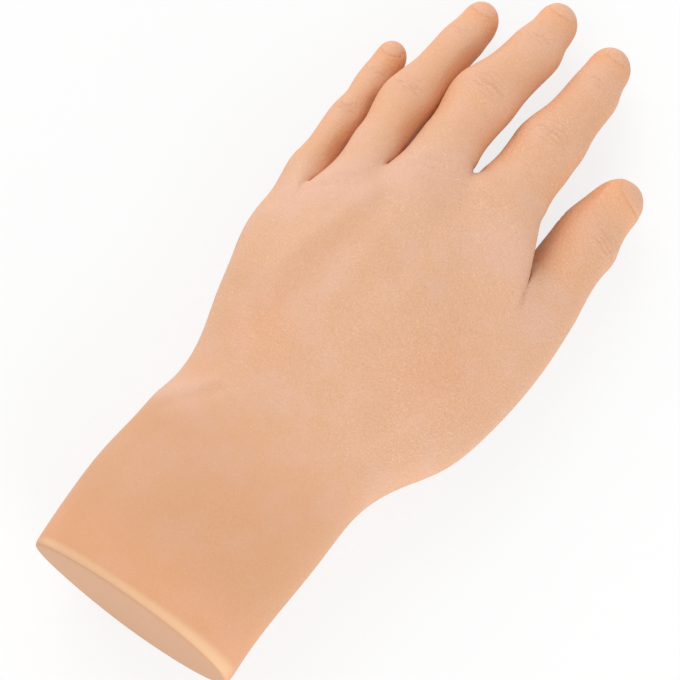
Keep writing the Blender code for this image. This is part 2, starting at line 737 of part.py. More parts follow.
hand = finger_set()
pin_length = LINK_WIDTH + 2 * (RUN_GAP + PIN_HEAD_HEIGHT)
hinge_pin = turned_pin("hinge_pin", pin_length, PIN_DIAMETER, PIN_HEAD_DIAMETER, PIN_HEAD_HEIGHT)
rivet_length = PLATE_THICKNESS + FOOT_THICKNESS + 3 * RUN_GAP + 2 * RIVET_HEAD_HEIGHT
foot_rivet = turned_pin("rivet", rivet_length, RIVET_DIAMETER, RIVET_HEAD_DIAMETER, RIVET_HEAD_HEIGHT)

build_palm_skin(hand)
build_palm_frame(hand)
for one in hand.values():
    build_bracket(one, foot_rivet)
    chain = [ROOT]
    for number, part in enumerate(one.segments):
        at = one.world(one.hinges[number])
        chain.append(new_pivot(f"{one.name}_{part}_pivot", at, chain[-1]))
        new_pin(f"{one.name}_{part}_pin", hinge_pin, at, one.across, chain[-2], PIN_STEEL)
    build_links(one, chain[1:])
    build_finger_skins(one, chain[1:])
stand_on_origin()
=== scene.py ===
import json
import math

import bmesh
import bpy
import numpy as np
from mathutils import Matrix, Vector


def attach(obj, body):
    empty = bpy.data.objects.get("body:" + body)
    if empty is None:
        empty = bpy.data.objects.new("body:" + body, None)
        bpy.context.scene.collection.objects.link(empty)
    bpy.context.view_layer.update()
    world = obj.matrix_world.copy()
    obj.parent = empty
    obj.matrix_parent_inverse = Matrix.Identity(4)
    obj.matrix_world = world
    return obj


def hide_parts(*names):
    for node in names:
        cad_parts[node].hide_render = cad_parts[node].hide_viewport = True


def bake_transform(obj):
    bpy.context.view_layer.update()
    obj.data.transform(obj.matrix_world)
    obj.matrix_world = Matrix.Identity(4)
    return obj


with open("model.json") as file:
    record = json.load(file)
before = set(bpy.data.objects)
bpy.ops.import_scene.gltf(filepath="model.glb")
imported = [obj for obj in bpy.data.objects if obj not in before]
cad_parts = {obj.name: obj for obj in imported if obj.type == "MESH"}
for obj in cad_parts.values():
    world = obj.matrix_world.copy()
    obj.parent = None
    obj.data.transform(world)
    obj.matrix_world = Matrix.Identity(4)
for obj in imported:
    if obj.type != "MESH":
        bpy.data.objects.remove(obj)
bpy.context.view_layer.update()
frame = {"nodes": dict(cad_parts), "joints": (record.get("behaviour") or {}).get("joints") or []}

# Armature
# The steel inside the hand: a palm plate with its stem, and brackets and links cut from bar.
# The plate and links are sawn and brushed along the hand, and the pins and rivets are turned bright.

BAR_COLOUR = (0.56, 0.57, 0.58)
BAR_GRAIN = 900.0
PIN_COLOUR = (0.46, 0.46, 0.47)
PIN_GRAIN = 2200.0
# The brush marks run along the hand. They change the shade and the gloss, and stand up a very little.
BRUSH_STRETCH = (1, 0.05, 1)
BRUSH_DETAIL = 3
BRUSH_SHADE = 0.35
BRUSH_ROUGHNESS = (0.24, 0.44)
BRUSH_BUMP = 0.15
BRUSH_DEPTH = 0.0001


def new_socket_group(name, inputs, outputs):
    """A shader node group with these named inputs and outputs."""
    group = bpy.data.node_groups.new(name, "ShaderNodeTree")
    for label, kind, value in inputs:
        socket = group.interface.new_socket(label, in_out="INPUT", socket_type=kind)
        socket.default_value = value
    for label, kind in outputs:
        group.interface.new_socket(label, in_out="OUTPUT", socket_type=kind)
    return group, group.nodes.new("NodeGroupInput"), group.nodes.new("NodeGroupOutput")


def spread(group, value, start, end, low=0.0, high=1.0):
    """Takes a value from one range to another."""
    node = group.nodes.new("ShaderNodeMapRange")
    labels = ("From Min", "From Max", "To Min", "To Max")
    for label, number in zip(labels, (start, end, low, high)):
        node.inputs[label].default_value = number
    group.links.new(value, node.inputs["Value"])
    return node.outputs["Result"]


brushing, brush_in, brush_out = new_socket_group(
    "steel_brushing",
    (("Colour", "NodeSocketColor", (*BAR_COLOUR, 1)), ("Grain", "NodeSocketFloat", BAR_GRAIN)),
    (("Colour", "NodeSocketColor"), ("Roughness", "NodeSocketFloat"), ("Height", "NodeSocketFloat")),
)
join = brushing.links.new
where = brushing.nodes.new("ShaderNodeTexCoord")
stretch = brushing.nodes.new("ShaderNodeMapping")
stretch.inputs["Scale"].default_value = BRUSH_STRETCH
join(where.outputs["Object"], stretch.inputs["Vector"])
lines = brushing.nodes.new("ShaderNodeTexNoise")
lines.inputs["Detail"].default_value = BRUSH_DETAIL
join(stretch.outputs["Vector"], lines.inputs["Vector"])
join(brush_in.outputs["Grain"], lines.inputs["Scale"])
shade = brushing.nodes.new("ShaderNodeMix")
shade.data_type = "RGBA"
shade.blend_type = "MULTIPLY"
shade.inputs["Factor"].default_value = BRUSH_SHADE
join(brush_in.outputs["Colour"], shade.inputs["A"])
join(lines.outputs["Color"], shade.inputs["B"])
join(shade.outputs["Result"], brush_out.inputs["Colour"])
gloss = spread(brushing, lines.outputs["Fac"], 0, 1, *BRUSH_ROUGHNESS)
join(gloss, brush_out.inputs["Roughness"])
join(lines.outputs["Fac"], brush_out.inputs["Height"])


def steel(name, colour, grain):
    material = bpy.data.materials.new(name)
    material.use_nodes = True
    nodes = material.node_tree.nodes
    links = material.node_tree.links
    shader = nodes["Principled BSDF"]
    shader.inputs["Metallic"].default_value = 1
    finish = nodes.new("ShaderNodeGroup")
    finish.node_tree = brushing
    finish.inputs["Colour"].default_value = (*colour, 1)
    finish.inputs["Grain"].default_value = grain
    bump = nodes.new("ShaderNodeBump")
    bump.inputs["Strength"].default_value = BRUSH_BUMP
    bump.inputs["Distance"].default_value = BRUSH_DEPTH
    links.new(finish.outputs["Colour"], shader.inputs["Base Color"])
    links.new(finish.outputs["Roughness"], shader.inputs["Roughness"])
    links.new(finish.outputs["Height"], bump.inputs["Height"])
    links.new(bump.outputs["Normal"], shader.inputs["Normal"])
    return material


bar_steel = steel("brushed_bar_steel", BAR_COLOUR, BAR_GRAIN)
pin_steel = steel("turned_pin_steel", PIN_COLOUR, PIN_GRAIN)
for node_name, node in frame["nodes"].items():
    if not node_name.endswith("_skin"):
        turned = node_name.endswith(("_pin", "_rivet"))
        node.data.materials.clear()
        node.data.materials.append(pin_steel if turned else bar_steel)

# Skin of the palm and wrist
# One soft silicone casting, poured round the armature in a mould taken from a left hand. The wrist end
# is cut flat, with a rounded rim. It starts as the outline of the wrist, drawn out row by row.

MM = 0.001
# Round the outline there are 16 steps over the back, four down the thumb side, 16 under the palm and
# four up the little-finger side. Each finger takes four steps of the back and four of the palm.
OUTLINE = 40
BACK_STEPS = 16
SIDE_STEPS = 4
FINGER_STEPS = 4
FINGERS = 4
UNDER_LITTLE = OUTLINE - SIDE_STEPS
FIRST_TURN = 18
wrist_cut = Vector((-2.74, -115.62, 0.46)) * MM
# The cut at the wrist runs a little back on the little-finger side, less so at the table than on top, and
# back again towards the table. Its underside is rounder, and its rim is drawn in less at the sides.
WRIST_TOP = 43.0
WRIST_SKEW = math.radians(3.1)
WRIST_LEAN = 0.8
CUT_ROUNDER = 0.25
RIM_AT_SIDES = 0.35
# Towards the thumb the back drops from here on, ever steeper, and this far round the side.
DROP_FROM = 12
DROP_CURVE = 1.5
DROP_ROUND = 0.3


def at_hand(x, y, z):
    """A point given in millimetres from the middle of the wrist cut, at table height."""
    return wrist_cut + Vector((x, y, z)) * MM


def turn_of(step):
    """The angle of a step of the outline, measured from the thumb side up over the back."""
    return math.radians((FIRST_TURN - step) * 360 / OUTLINE)


def wrist_ring(y, left, right, bottom, top, square, skewed=0.0, drop=0.0, inset=0.0):
    """One outline across the wrist, square to the hand or skewed. The thumb side of its back drops."""
    slope = math.tan(skewed * WRIST_SKEW)
    ring = []
    for step in range(OUTLINE):
        cosine = math.cos(turn_of(step))
        sine = math.sin(turn_of(step))
        power = 2 / square if sine > 0 else 2 / (square - CUT_ROUNDER * skewed)
        x = ((right - left) / 2 - RIM_AT_SIDES * inset) * math.copysign(abs(cosine) ** power, cosine)
        z = ((top - bottom) / 2 - inset) * math.copysign(abs(sine) ** power, sine)
        x += (left + right) / 2
        towards_thumb = max(0.0, (x - DROP_FROM) / (right - DROP_FROM))
        z -= drop * towards_thumb ** DROP_CURVE * max(0.0, sine + DROP_ROUND)
        z += (top + bottom) / 2
        forward = x * slope * (0.5 + 0.5 * z / top) - WRIST_LEAN * skewed * (1 - z / top)
        ring.append(at_hand(x, y + forward, z))
    return ring


# Each row has its distance from the cut, its left, right, bottom and top, and how square it is. Some have
# a share of the cut's skew, the drop towards the thumb, and how far the rim is drawn in.
wrist_rows = [wrist_ring(*row) for row in (
    (0.0, -32.6, 33.5, 0.4, WRIST_TOP, 2.05, 1.0, 0.0, 3.4),
    (0.15, -32.6, 33.5, 0.4, WRIST_TOP, 2.05, 1.0, 0.0, 1.9),
    (0.9, -32.6, 33.5, 0.4, WRIST_TOP, 2.05, 1.0, 0.0, 0.6),
    (2.2, -32.6, 33.5, 0.4, WRIST_TOP, 2.05, 1.0),
    (5.0, -32.9, 33.3, 0.5, WRIST_TOP, 2.1, 1.0),
    (11.0, -33.5, 32.8, 0.6, 42.7, 2.2, 0.8),
    (20.0, -34.2, 32.6, 0.7, 42.1, 2.3, 0.5),
    (30.0, -34.6, 32.9, 0.8, 41.5, 2.3, 0.2),
    (40.0, -33.8, 33.3, 0.8, 41.0, 2.3),
    (50.0, -32.6, 33.2, 0.8, 40.4, 2.3),
    (60.0, -31.5, 33.0, 0.8, 40.0, 2.3),
    (69.0, -31.7, 34.9, 0.6, 40.0, 2.3, 0.0, 1.0),
    (78.0, -34.0, 39.0, 0.2, 40.4, 2.4, 0.0, 4.0),
    (88.0, -37.8, 45.4, 0.0, 41.0, 2.4, 0.0, 8.0),
    (98.0, -40.4, 48.3, 0.2, 41.6, 2.5, 0.0, 10.5),
)]

# The front of the palm ends at the webs. Each web is a line of five points from the back to the palm.
webs = [[at_hand(*spot) for spot in web] for web in (
    ((-42.0, 122, 25), (-43.8, 123, 21), (-44.2, 123.5, 17), (-43.6, 123, 13), (-41.5, 122, 9.5)),
    ((-37.4, 127, 28.6), (-37.2, 130.5, 24), (-37, 131.5, 19.5), (-36.8, 130.5, 15), (-36.6, 127, 11)),
    ((-22.6, 143.5, 34), (-22.6, 147.2, 30), (-22.6, 148.2, 25.5), (-22.6, 147.2, 21), (-22.6, 143.5, 17)),
    ((-1.2, 158.5, 34), (-1.2, 162.2, 30.3), (-1.2, 163.2, 26), (-1.2, 162.2, 21.7), (-1.2, 158.5, 18)),
    ((22.2, 155, 35), (26.4, 155.5, 31.5), (27.3, 155.8, 27), (25.4, 156, 22), (21.0, 155, 17.5)),
)]
little_side, ring_web, middle_web, index_web, thumb_side = webs

# Between its two webs each finger's root is arched, over the back and under the palm.
BACK_ARCH = (3.0, 4.6, 4.4, 3.4)
PALM_ARCH = (-2.2, -2.6, -2.6, -2.6)
ARCH_BLUNT = 0.7
web_row = {}
arch = {step: 0.0 for step in range(OUTLINE)}
for finger in range(FINGERS):
    left_web = webs[finger]
    right_web = webs[finger + 1]
    for step in range(FINGER_STEPS + 1):
        share = step / FINGER_STEPS
        lift = math.sin(math.pi * share) ** ARCH_BLUNT if 0 < step < FINGER_STEPS else 0
        over = FINGER_STEPS * finger + step
        under = UNDER_LITTLE - FINGER_STEPS * finger - step
        web_row[over] = left_web[0].lerp(right_web[0], share)
        web_row[under] = left_web[-1].lerp(right_web[-1], share)
        arch[over] = BACK_ARCH[finger] * lift
        arch[under] = PALM_ARCH[finger] * lift
for step in range(1, SIDE_STEPS):
    web_row[BACK_STEPS + step] = thumb_side[step]
    web_row[OUTLINE - step] = little_side[step]

# From the heel of the hand the rows spread towards the webs, fuller over the back and under the palm.
# Each finger's arch rises only over the last rows, and the thumb side stands out where the web begins.
PALM_ROWS = 5
BACK_FULLNESS = 3.0
PALM_FULLNESS = 2.6
LITTLE_SIDE_FULLNESS = 1.7
ARCH_RISE = 2.5
WEB_FILLS = {4: 2.6, 8: 1.4, 12: 1.4}
THUMB_FOLD = (
    (31.0, 140.5, 34.0), (33.6, 141.0, 30.5), (33.8, 141.5, 26.0), (31.5, 142.5, 18.0), (26.0, 143.0, 9.0))
FOLD_EASE = 0.3
palm_rows = []
for row in range(1, PALM_ROWS + 1):
    share = row / PALM_ROWS
    ring = []
    for step in range(OUTLINE):
        spot = wrist_rows[-1][step].lerp(web_row[step], share)
        over = math.sin(turn_of(step))
        fullness = BACK_FULLNESS if over > 0 else PALM_FULLNESS
        spot.z += fullness * MM * over * math.sin(math.pi * share)
        spot.z += arch[step] * MM * share ** ARCH_RISE
        if row < PALM_ROWS:
            spot.z += WEB_FILLS.get(step, 0) * MM * share**2 * math.sin(math.pi * share) ** 0.5
        if step >= UNDER_LITTLE:
            spot.x -= LITTLE_SIDE_FULLNESS * MM * math.sin(math.pi * share)
        ring.append(spot)
    palm_rows.append(ring)
for step, spot in enumerate(THUMB_FOLD, start=BACK_STEPS):
    palm_rows[-2][step] = at_hand(*spot)
    palm_rows[-3][step] = palm_rows[-3][step].lerp(at_hand(*spot), FOLD_EASE)

bpy.ops.object.select_all(action="DESELECT")
bpy.ops.mesh.primitive_circle_add(vertices=OUTLINE, radius=30 * MM)
hand = bpy.context.object
hand.name = "hand_casting"
bpy.ops.object.mode_set(mode="EDIT")
shape = bmesh.from_edit_mesh(hand.data)
NOTES = ("side", "row", "limb")
for name in NOTES:
    shape.verts.layers.int.new(name)


def notes_of(mesh):
    """The layers that hold each vertex's side, row and limb."""
    return [mesh.verts.layers.int[name] for name in NOTES]


side_layer = notes_of(shape)[0]
for step, vertex in enumerate(shape.verts):
    vertex[side_layer] = step
bmesh.update_edit_mesh(hand.data)


def place_selected(points, row, limb):
    """Puts each selected vertex at the point for its side, and notes the row and limb it belongs to."""
    mesh = bmesh.from_edit_mesh(hand.data)
    side_layer, row_layer, limb_layer = notes_of(mesh)
    for vertex in mesh.verts:
        if vertex.select:
            vertex.co = points[vertex[side_layer]]
            vertex[row_layer] = row
            vertex[limb_layer] = limb
    bmesh.update_edit_mesh(hand.data)


def select_vertices(wanted):
    """Selects the vertices for which wanted(side, row, limb) holds, and the edges between them."""
    bpy.ops.mesh.select_all(action="DESELECT")
    mesh = bmesh.from_edit_mesh(hand.data)
    side_layer, row_layer, limb_layer = notes_of(mesh)
    for vertex in mesh.verts:
        vertex.select = wanted(vertex[side_layer], vertex[row_layer], vertex[limb_layer])
    mesh.select_flush_mode()
    mesh.select_flush(True)
    bmesh.update_edit_mesh(hand.data)


bpy.ops.mesh.select_all(action="SELECT")
place_selected(wrist_rows[0], 0, 0)
for row, ring in enumerate(wrist_rows[1:] + palm_rows, start=1):
    bpy.ops.mesh.extrude_region_move()
    place_selected(ring, row, 0)
FRONT = len(wrist_rows) + len(palm_rows) - 1
HEEL = len(wrist_rows) - 1

# The wrist end is filled with a plain grid of faces, and the webs are drawn between the fingers.
select_vertices(lambda side, row, limb: row == 0)
bpy.ops.mesh.fill_grid(span=BACK_STEPS, offset=0)


def web_side(number, step):
    """The side number of a web's point. Webs are numbered from the little finger."""
    return 100 + 10 * number + step


for number, web in enumerate((ring_web, middle_web, index_web), start=1):
    corners = (FINGER_STEPS * number, UNDER_LITTLE - FINGER_STEPS * number)
    select_vertices(lambda side, row, limb: row == FRONT and side in corners)
    bpy.ops.mesh.edge_face_add()
    bpy.ops.mesh.subdivide(number_cuts=SIDE_STEPS - 1)
    shape = bmesh.from_edit_mesh(hand.data)
    side_layer, row_layer, _ = notes_of(shape)
    middle = [v for v in shape.verts if v.select and all(v.co != web[end] for end in (0, -1))]
    middle = [v for v in middle if not v.link_faces]
    for step, vertex in enumerate(sorted(middle, key=lambda v: -v.co.z), start=1):
        vertex.co = web[step]
        vertex[side_layer] = web_side(number, step)
        vertex[row_layer] = FRONT
    bmesh.update_edit_mesh(hand.data)

# Skin of the fingers
# The same casting runs on over each finger's links, a wall of three to six millimetres. Each finger is
# drawn out of the palm ring by ring, along the line of its own hinges, and closed at the tip.

RING = 16
RING_STEP = 22.5
# Smoothing draws the rings in, so they start a little fuller. A bend takes ten millimetres.
FULLER = 1.026
BEND_LENGTH = 10
# The rounded tip: its length against half the width, its rings along it, and how they close in.
TIP_LENGTH = 1.25
TIP_RINGS = (0.0, 0.32, 0.58, 0.8)
TIP_TAPER = 0.96
TIP_LAST_RING = 0.62


class Limb:
    """A finger's middle line through its hinges, with its widths and depths along it."""

    def __init__(self, name, number, sides, widths, depths, sways, last_length, last_dip, root):
        self.name, self.number, self.sides, self.root = name, number, sides, root
        self.widths, self.depths, self.sways = widths, depths, sways
        joints = [joint for joint in frame["joints"] if joint["name"].startswith(name)]
        self.hinges = [Vector(joint["pos_m"]) for joint in joints]
        self.bodies = ["palm"] + [joint["child"] for joint in joints]
        self.across = -Vector(joints[0]["axis"]).normalized()
        forward = Vector((-self.across.y, self.across.x, 0)).normalized()
        dip = math.radians(last_dip)
        last_way = forward * math.cos(dip) - self.across.cross(forward) * math.sin(dip)
        self.hinges.append(self.hinges[-1] + last_way * last_length * MM)
        self.ways = [(b - a).normalized() for a, b in zip(self.hinges, self.hinges[1:])]
        self.runs = [0.0]
        for a, b in zip(self.hinges, self.hinges[1:]):
            self.runs.append(self.runs[-1] + (b - a).length / MM)
        self.length = self.runs[-1]
        self.tip_round = TIP_LENGTH * widths[-1] / 2

    def size_at(self, run, sizes):
        """A width, depth or sway that eases from one station to the next."""
        stations = self.runs[:-1] + [(self.runs[-2] + self.length) / 2, self.length]
        for low, high, first, last in zip(stations, stations[1:], sizes, sizes[1:]):
            if run <= high:
                share = min(max((run - low) / (high - low), 0), 1)
                return first + (last - first) * share * share * (3 - 2 * share)
        return sizes[-1]

    def ring(self, run, shrink=1.0):
        """The outline of the finger this many millimetres past its first hinge, by side number."""
        segment = sum(1 for knuckle in self.runs[1:-1] if run > knuckle)
        centre = self.hinges[segment] + self.ways[segment] * (run - self.runs[segment]) * MM
        way = self.ways[0].copy()
        for index, knuckle in enumerate(self.runs[1:-1]):
            lean = min(max((run - knuckle) / BEND_LENGTH + 0.5, 0), 1)
            way += (self.ways[index + 1] - self.ways[index]) * lean
        up = self.across.cross(way.normalized())
        centre = centre + self.across * self.size_at(run, self.sways) * MM
        half_width = self.size_at(run, self.widths) / 2 * FULLER * shrink * MM
        half_depth = self.size_at(run, self.depths) / 2 * FULLER * shrink * MM
        ring = {}
        for side, degrees in self.sides.items():
            angle = math.radians(degrees)
            outward = self.across * half_width * math.cos(angle)
            ring[side] = centre + outward + up * half_depth * math.sin(angle)
        return ring


def finger_sides(number):
    """Side numbers of a finger's ring and their angles, from the thumb side up over the back."""
    sides = {}
    for step in range(FINGER_STEPS + 1):
        sides[FINGER_STEPS * number + step] = 135 - RING_STEP * step
        sides[UNDER_LITTLE - FINGER_STEPS * number - step] = 225 + RING_STEP * step
    for step in range(1, SIDE_STEPS):
        near = OUTLINE - step if number == 0 else web_side(number, step)
        far = BACK_STEPS + step if number == FINGERS - 1 else web_side(number + 1, step)
        sides[near] = 135 + RING_STEP * step
        sides[far] = 45 - RING_STEP * step
    return sides


# Widths, depths and sways towards the thumb are at the knuckles and the middle of the tip, and the last
# sway is at the very end. Then come the length and dip of the tip, and where the root bends.
limbs = [
    Limb("little", 1, finger_sides(0), (12.7, 11.4, 10.8, 10.0), (14.5, 12.4, 10.4, 9.4),
         (1.2, 0.5, -0.2, -0.4, -1.0), 15.8, 9, (2.6, 11.0)),
    Limb("ring", 2, finger_sides(1), (16.0, 17.0, 13.8, 12.0), (17.5, 15.6, 12.4, 10.8),
         (2.6, -0.4, 0.0, 0, -0.8), 18.2, 13, (3.4, 13.0)),
    Limb("middle", 3, finger_sides(2), (19.2, 20.4, 16.7, 13.9), (20.0, 17.6, 13.6, 11.6),
         (1.2, -1.0, 0.75, 0, -0.7), 21.6, 16, (3.4, 14.0)),
    Limb("index", 4, finger_sides(3), (23.2, 20.8, 16.1, 13.8), (20.0, 17.6, 13.6, 11.6),
         (0.2, 0.1, 0.6, -0.3, -0.8), 20.2, 17, (3.2, 14.0)),
]
# How far the little-finger side of a finger's neck is drawn in, where the web runs up to the next finger.
NECKS = {"little": 0.0, "ring": 2.2, "middle": 0.9, "index": 0.0}
NECK_SIDE = 165
# A knuckle bends over this much to each side, and the casting is taken apart just clear of that.
KNUCKLE_HALF = 7.0
CUT_CLEAR = 0.25
PAST_MIDDLE = 0.5
ROW_STEP = 2.9


def draw_out(limb, cuts):
    """Draws a limb from its selected root loop: even rows between the cuts, then a rounded tip."""
    row = 2
    limb.cut_rows = []
    straight = limb.length - limb.tip_round
    for low, high in zip(cuts, cuts[1:] + [straight]):
        limb.cut_rows.append(row)
        steps = max(1, round((high - low) / ROW_STEP))
        for step in range(steps):
            bpy.ops.mesh.extrude_region_move()
            place_selected(limb.ring(low + (high - low) * step / steps), row, limb.number)
            row += 1
    for past in TIP_RINGS:
        bpy.ops.mesh.extrude_region_move()
        shrink = math.sqrt(1 - TIP_TAPER * past * past)
        place_selected(limb.ring(straight + limb.tip_round * past, shrink), row, limb.number)
        row += 1
    close_tip(limb, row)


def close_tip(limb, row):
    """Fills the last ring with a grid and domes it."""
    mesh = bmesh.from_edit_mesh(hand.data)
    rim = [vertex.co.copy() for vertex in mesh.verts if vertex.select]
    middle = sum(rim, Vector()) / len(rim)
    radius = sum((spot - middle).length for spot in rim) / len(rim)
    before = {vertex.index for vertex in mesh.verts}
    bpy.ops.mesh.fill_grid(span=RING // 4, offset=0)
    mesh = bmesh.from_edit_mesh(hand.data)
    _, row_layer, limb_layer = notes_of(mesh)
    mesh.verts.ensure_lookup_table()
    for vertex in mesh.verts:
        if vertex.index not in before:
            away = vertex.co - middle
            flat = away - limb.ways[-1] * away.dot(limb.ways[-1])
            share = min(flat.length / radius, 1)
            dome = math.sqrt((1 - (TIP_LAST_RING * share) ** 2) / TIP_TAPER)
            height = limb.tip_round * (dome - TIP_RINGS[-1])
            vertex.co = middle + flat + limb.ways[-1] * height * MM
            vertex[row_layer] = row
            vertex[limb_layer] = limb.number
    bmesh.update_edit_mesh(hand.data)


for limb in limbs:
    select_vertices(lambda side, row, number: number == 0 and row == FRONT and side in limb.sides)
    shape = bmesh.from_edit_mesh(hand.data)
    side_layer = notes_of(shape)[0]
    root = {vertex[side_layer]: vertex.co.copy() for vertex in shape.verts if vertex.select}
    first = limb.ring(limb.root[0])
    bpy.ops.mesh.extrude_region_move()
    neck = {}
    for side in root:
        drawn_in = max(0.0, math.cos(math.radians(limb.sides[side] - NECK_SIDE)))
        neck[side] = root[side].lerp(first[side], 0.5) + limb.across * NECKS[limb.name] * drawn_in * MM
    place_selected(neck, 1, limb.number)
    knuckle_cut = limb.runs[1] - KNUCKLE_HALF - CUT_CLEAR
    tip_cut = (limb.runs[1] + limb.runs[2]) / 2 + PAST_MIDDLE
    draw_out(limb, [limb.root[0], knuckle_cut, tip_cut])

# Skin of the thumb
# The thumb grows out of the palm's side, over a bracket of its own. Its mound fans round from the heel
# of the hand to the web beside the index finger.

THUMB_SIDE = 200
THUMB_FIRST = 45
THUMB_TWIST = 38
thumb_sides = {THUMB_SIDE + step: THUMB_FIRST + RING_STEP * step + THUMB_TWIST for step in range(RING)}
thumb = Limb("thumb", 5, thumb_sides, (23.4, 21.6, 19.4), (20.5, 17.6, 14.0), (2.5, 0.2, -0.4, 1.8),
             25.1, 5, (8.0, 20.0))
# Four rows of the palm's side are opened. The mound fans from there, and swells out, down and up.
THUMB_ROWS = 4
FAN = 6
MOUND_OUT = 2.3
MOUND_DOWN = 2.6
MOUND_UP = 1.6
thumb_rows = range(HEEL, HEEL + THUMB_ROWS + 1)
bpy.ops.mesh.select_mode(type="FACE")
bpy.ops.mesh.select_all(action="DESELECT")
shape = bmesh.from_edit_mesh(hand.data)
side_layer, row_layer, limb_layer = notes_of(shape)
for face in shape.faces:
    face.select = all(
        BACK_STEPS <= v[side_layer] <= BACK_STEPS + SIDE_STEPS
        and v[row_layer] in thumb_rows and v[limb_layer] == 0
        for v in face.verts
    )
bmesh.update_edit_mesh(hand.data)
bpy.ops.mesh.delete(type="FACE")
bpy.ops.mesh.select_mode(type="VERT")
shape = bmesh.from_edit_mesh(hand.data)
side_layer, row_layer, _ = notes_of(shape)
edge_order = [(BACK_STEPS, HEEL + step) for step in range(THUMB_ROWS)]
edge_order += [(BACK_STEPS + step, HEEL + THUMB_ROWS) for step in range(SIDE_STEPS)]
edge_order += [(BACK_STEPS + SIDE_STEPS, HEEL + THUMB_ROWS - step) for step in range(THUMB_ROWS)]
edge_order += [(BACK_STEPS + SIDE_STEPS - step, HEEL) for step in range(SIDE_STEPS)]
for vertex in shape.verts:
    spot = (vertex[side_layer], vertex[row_layer])
    vertex.select = spot in edge_order and vertex.is_boundary
    if vertex.select:
        vertex[side_layer] = THUMB_SIDE + edge_order.index(spot)
shape.select_flush(True)
bmesh.update_edit_mesh(hand.data)
root = {vertex[side_layer]: vertex.co.copy() for vertex in shape.verts if vertex.select}
first = thumb.ring(thumb.root[0])
for step in range(1, FAN):
    share = step / FAN
    swell = math.sin(math.pi * share)
    fan = {}
    for side in root:
        around = math.radians(THUMB_FIRST + RING_STEP * (side - THUMB_SIDE))
        spot = root[side].lerp(first[side], share)
        spot.x += MOUND_OUT * MM * swell * max(0.0, math.cos(around))
        upright = math.sin(around)
        spot.z += MM * swell * (MOUND_DOWN * min(0.0, upright) + MOUND_UP * max(0.0, upright))
        fan[side] = spot
    bpy.ops.mesh.extrude_region_move()
    place_selected(fan, 1, thumb.number)
draw_out(thumb, [thumb.root[0], thumb.runs[1] - KNUCKLE_HALF - CUT_CLEAR])
limbs.append(thumb)
bpy.ops.mesh.select_all(action="SELECT")
bpy.ops.mesh.normals_make_consistent(inside=False)
bpy.ops.object.mode_set(mode="OBJECT")

# Each stretch of skin gets a slot of its own, so that it can be taken off the casting later.
SMOOTHING = 3
stretches = ["palm_casting"]
for limb in limbs:
    limb.first_stretch = len(stretches)
    limb.parts = ("root", "knuckle", "tip") if len(limb.cut_rows) == 3 else ("root", "tip")
    stretches.extend(f"{limb.name}_{part}_casting" for part in limb.parts)
for name in stretches:
    hand.data.materials.append(bpy.data.materials.new(name))
shape = bmesh.new()
shape.from_mesh(hand.data)
_, row_layer, limb_layer = notes_of(shape)
for face in shape.faces:
    owners = {vertex[limb_layer] for vertex in face.verts}
    face.material_index = 0
    if 0 not in owners:
        limb = limbs[max(owners) - 1]
        row = min(vertex[row_layer] for vertex in face.verts)
        past = sum(1 for cut in limb.cut_rows if row >= cut)
        if past:
            face.material_index = limb.first_stretch + past - 1
shape.to_mesh(hand.data)
shape.free()
subdivide = hand.modifiers.new("subdivide", "SUBSURF")
subdivide.levels = SMOOTHING
subdivide.render_levels = SMOOTHING
bpy.ops.object.select_all(action="DESELECT")
hand.select_set(True)
bpy.context.view_layer.objects.active = hand
bpy.ops.object.modifier_apply(modifier="subdivide")
bpy.ops.object.shade_smooth()

# Moulded detail of the skin
# What the mould took from the hand: knuckles, tendons, creases, wrinkles and short nails in the same
# silicone. It is raised from the smooth casting, or sunk into it, along the surface's own direction.

count = len(hand.data.vertices)
spots = np.empty(count * 3, np.float32)
hand.data.vertices.foreach_get("co", spots)
spots = spots.reshape(-1, 3) / MM
facing = np.empty(count * 3, np.float32)
hand.data.vertex_normals.foreach_get("vector", facing)
facing = facing.reshape(-1, 3)
corners = np.empty(len(hand.data.loops), np.int32)
hand.data.loops.foreach_get("vertex_index", corners)
corners = corners.reshape(-1, 4)
stretch_of = np.empty(len(hand.data.polygons), np.int32)
hand.data.polygons.foreach_get("material_index", stretch_of)
on_hand = spots - np.array(wrist_cut) / MM
# The crease marks are painted shade: they darken the creases, wrinkles, folds and lines of the skin.
raised, pink, warm, bright, crease = np.zeros((5, count))


def ease(low, high, value):
    share = np.clip((value - low) / (high - low), 0, 1)
    return share * share * (3 - 2 * share)


def hump(away, width):
    return np.exp(-((away / width) ** 2))


on_back = ease(0.15, 0.6, facing[:, 2])
on_palm = ease(0.15, 0.6, -facing[:, 2])


def near_spot(x, y, radius):
    return hump(np.hypot(on_hand[:, 0] - x, on_hand[:, 1] - y), radius)


def near_line(path, width):
    """How close each point is to a line on the hand, fading out at its two ends."""
    path = np.array(path, float)
    for _ in range(2):
        cut = np.repeat(path, 2, axis=0)
        cut[1:-1:2] = 0.75 * path[:-1] + 0.25 * path[1:]
        cut[2:-1:2] = 0.25 * path[:-1] + 0.75 * path[1:]
        path = cut
    steps = np.hypot(*np.diff(path, axis=0).T)
    ends = np.concatenate([[0], np.cumsum(steps)])
    nearest = np.full(count, np.inf)
    travelled = np.zeros(count)
    for start, end, begun, step in zip(path, path[1:], ends, steps):
        if step == 0:
            continue
        along = np.clip(((on_hand[:, :2] - start) @ (end - start)) / step**2, 0, 1)
        away = np.hypot(*(on_hand[:, :2] - start - along[:, None] * (end - start)).T)
        closer = away < nearest
        nearest = np.where(closer, away, nearest)
        travelled = np.where(closer, (begun + along * step) / ends[-1], travelled)
    return hump(nearest, width) * ease(0, 0.2, travelled) * ease(0, 0.2, 1 - travelled)


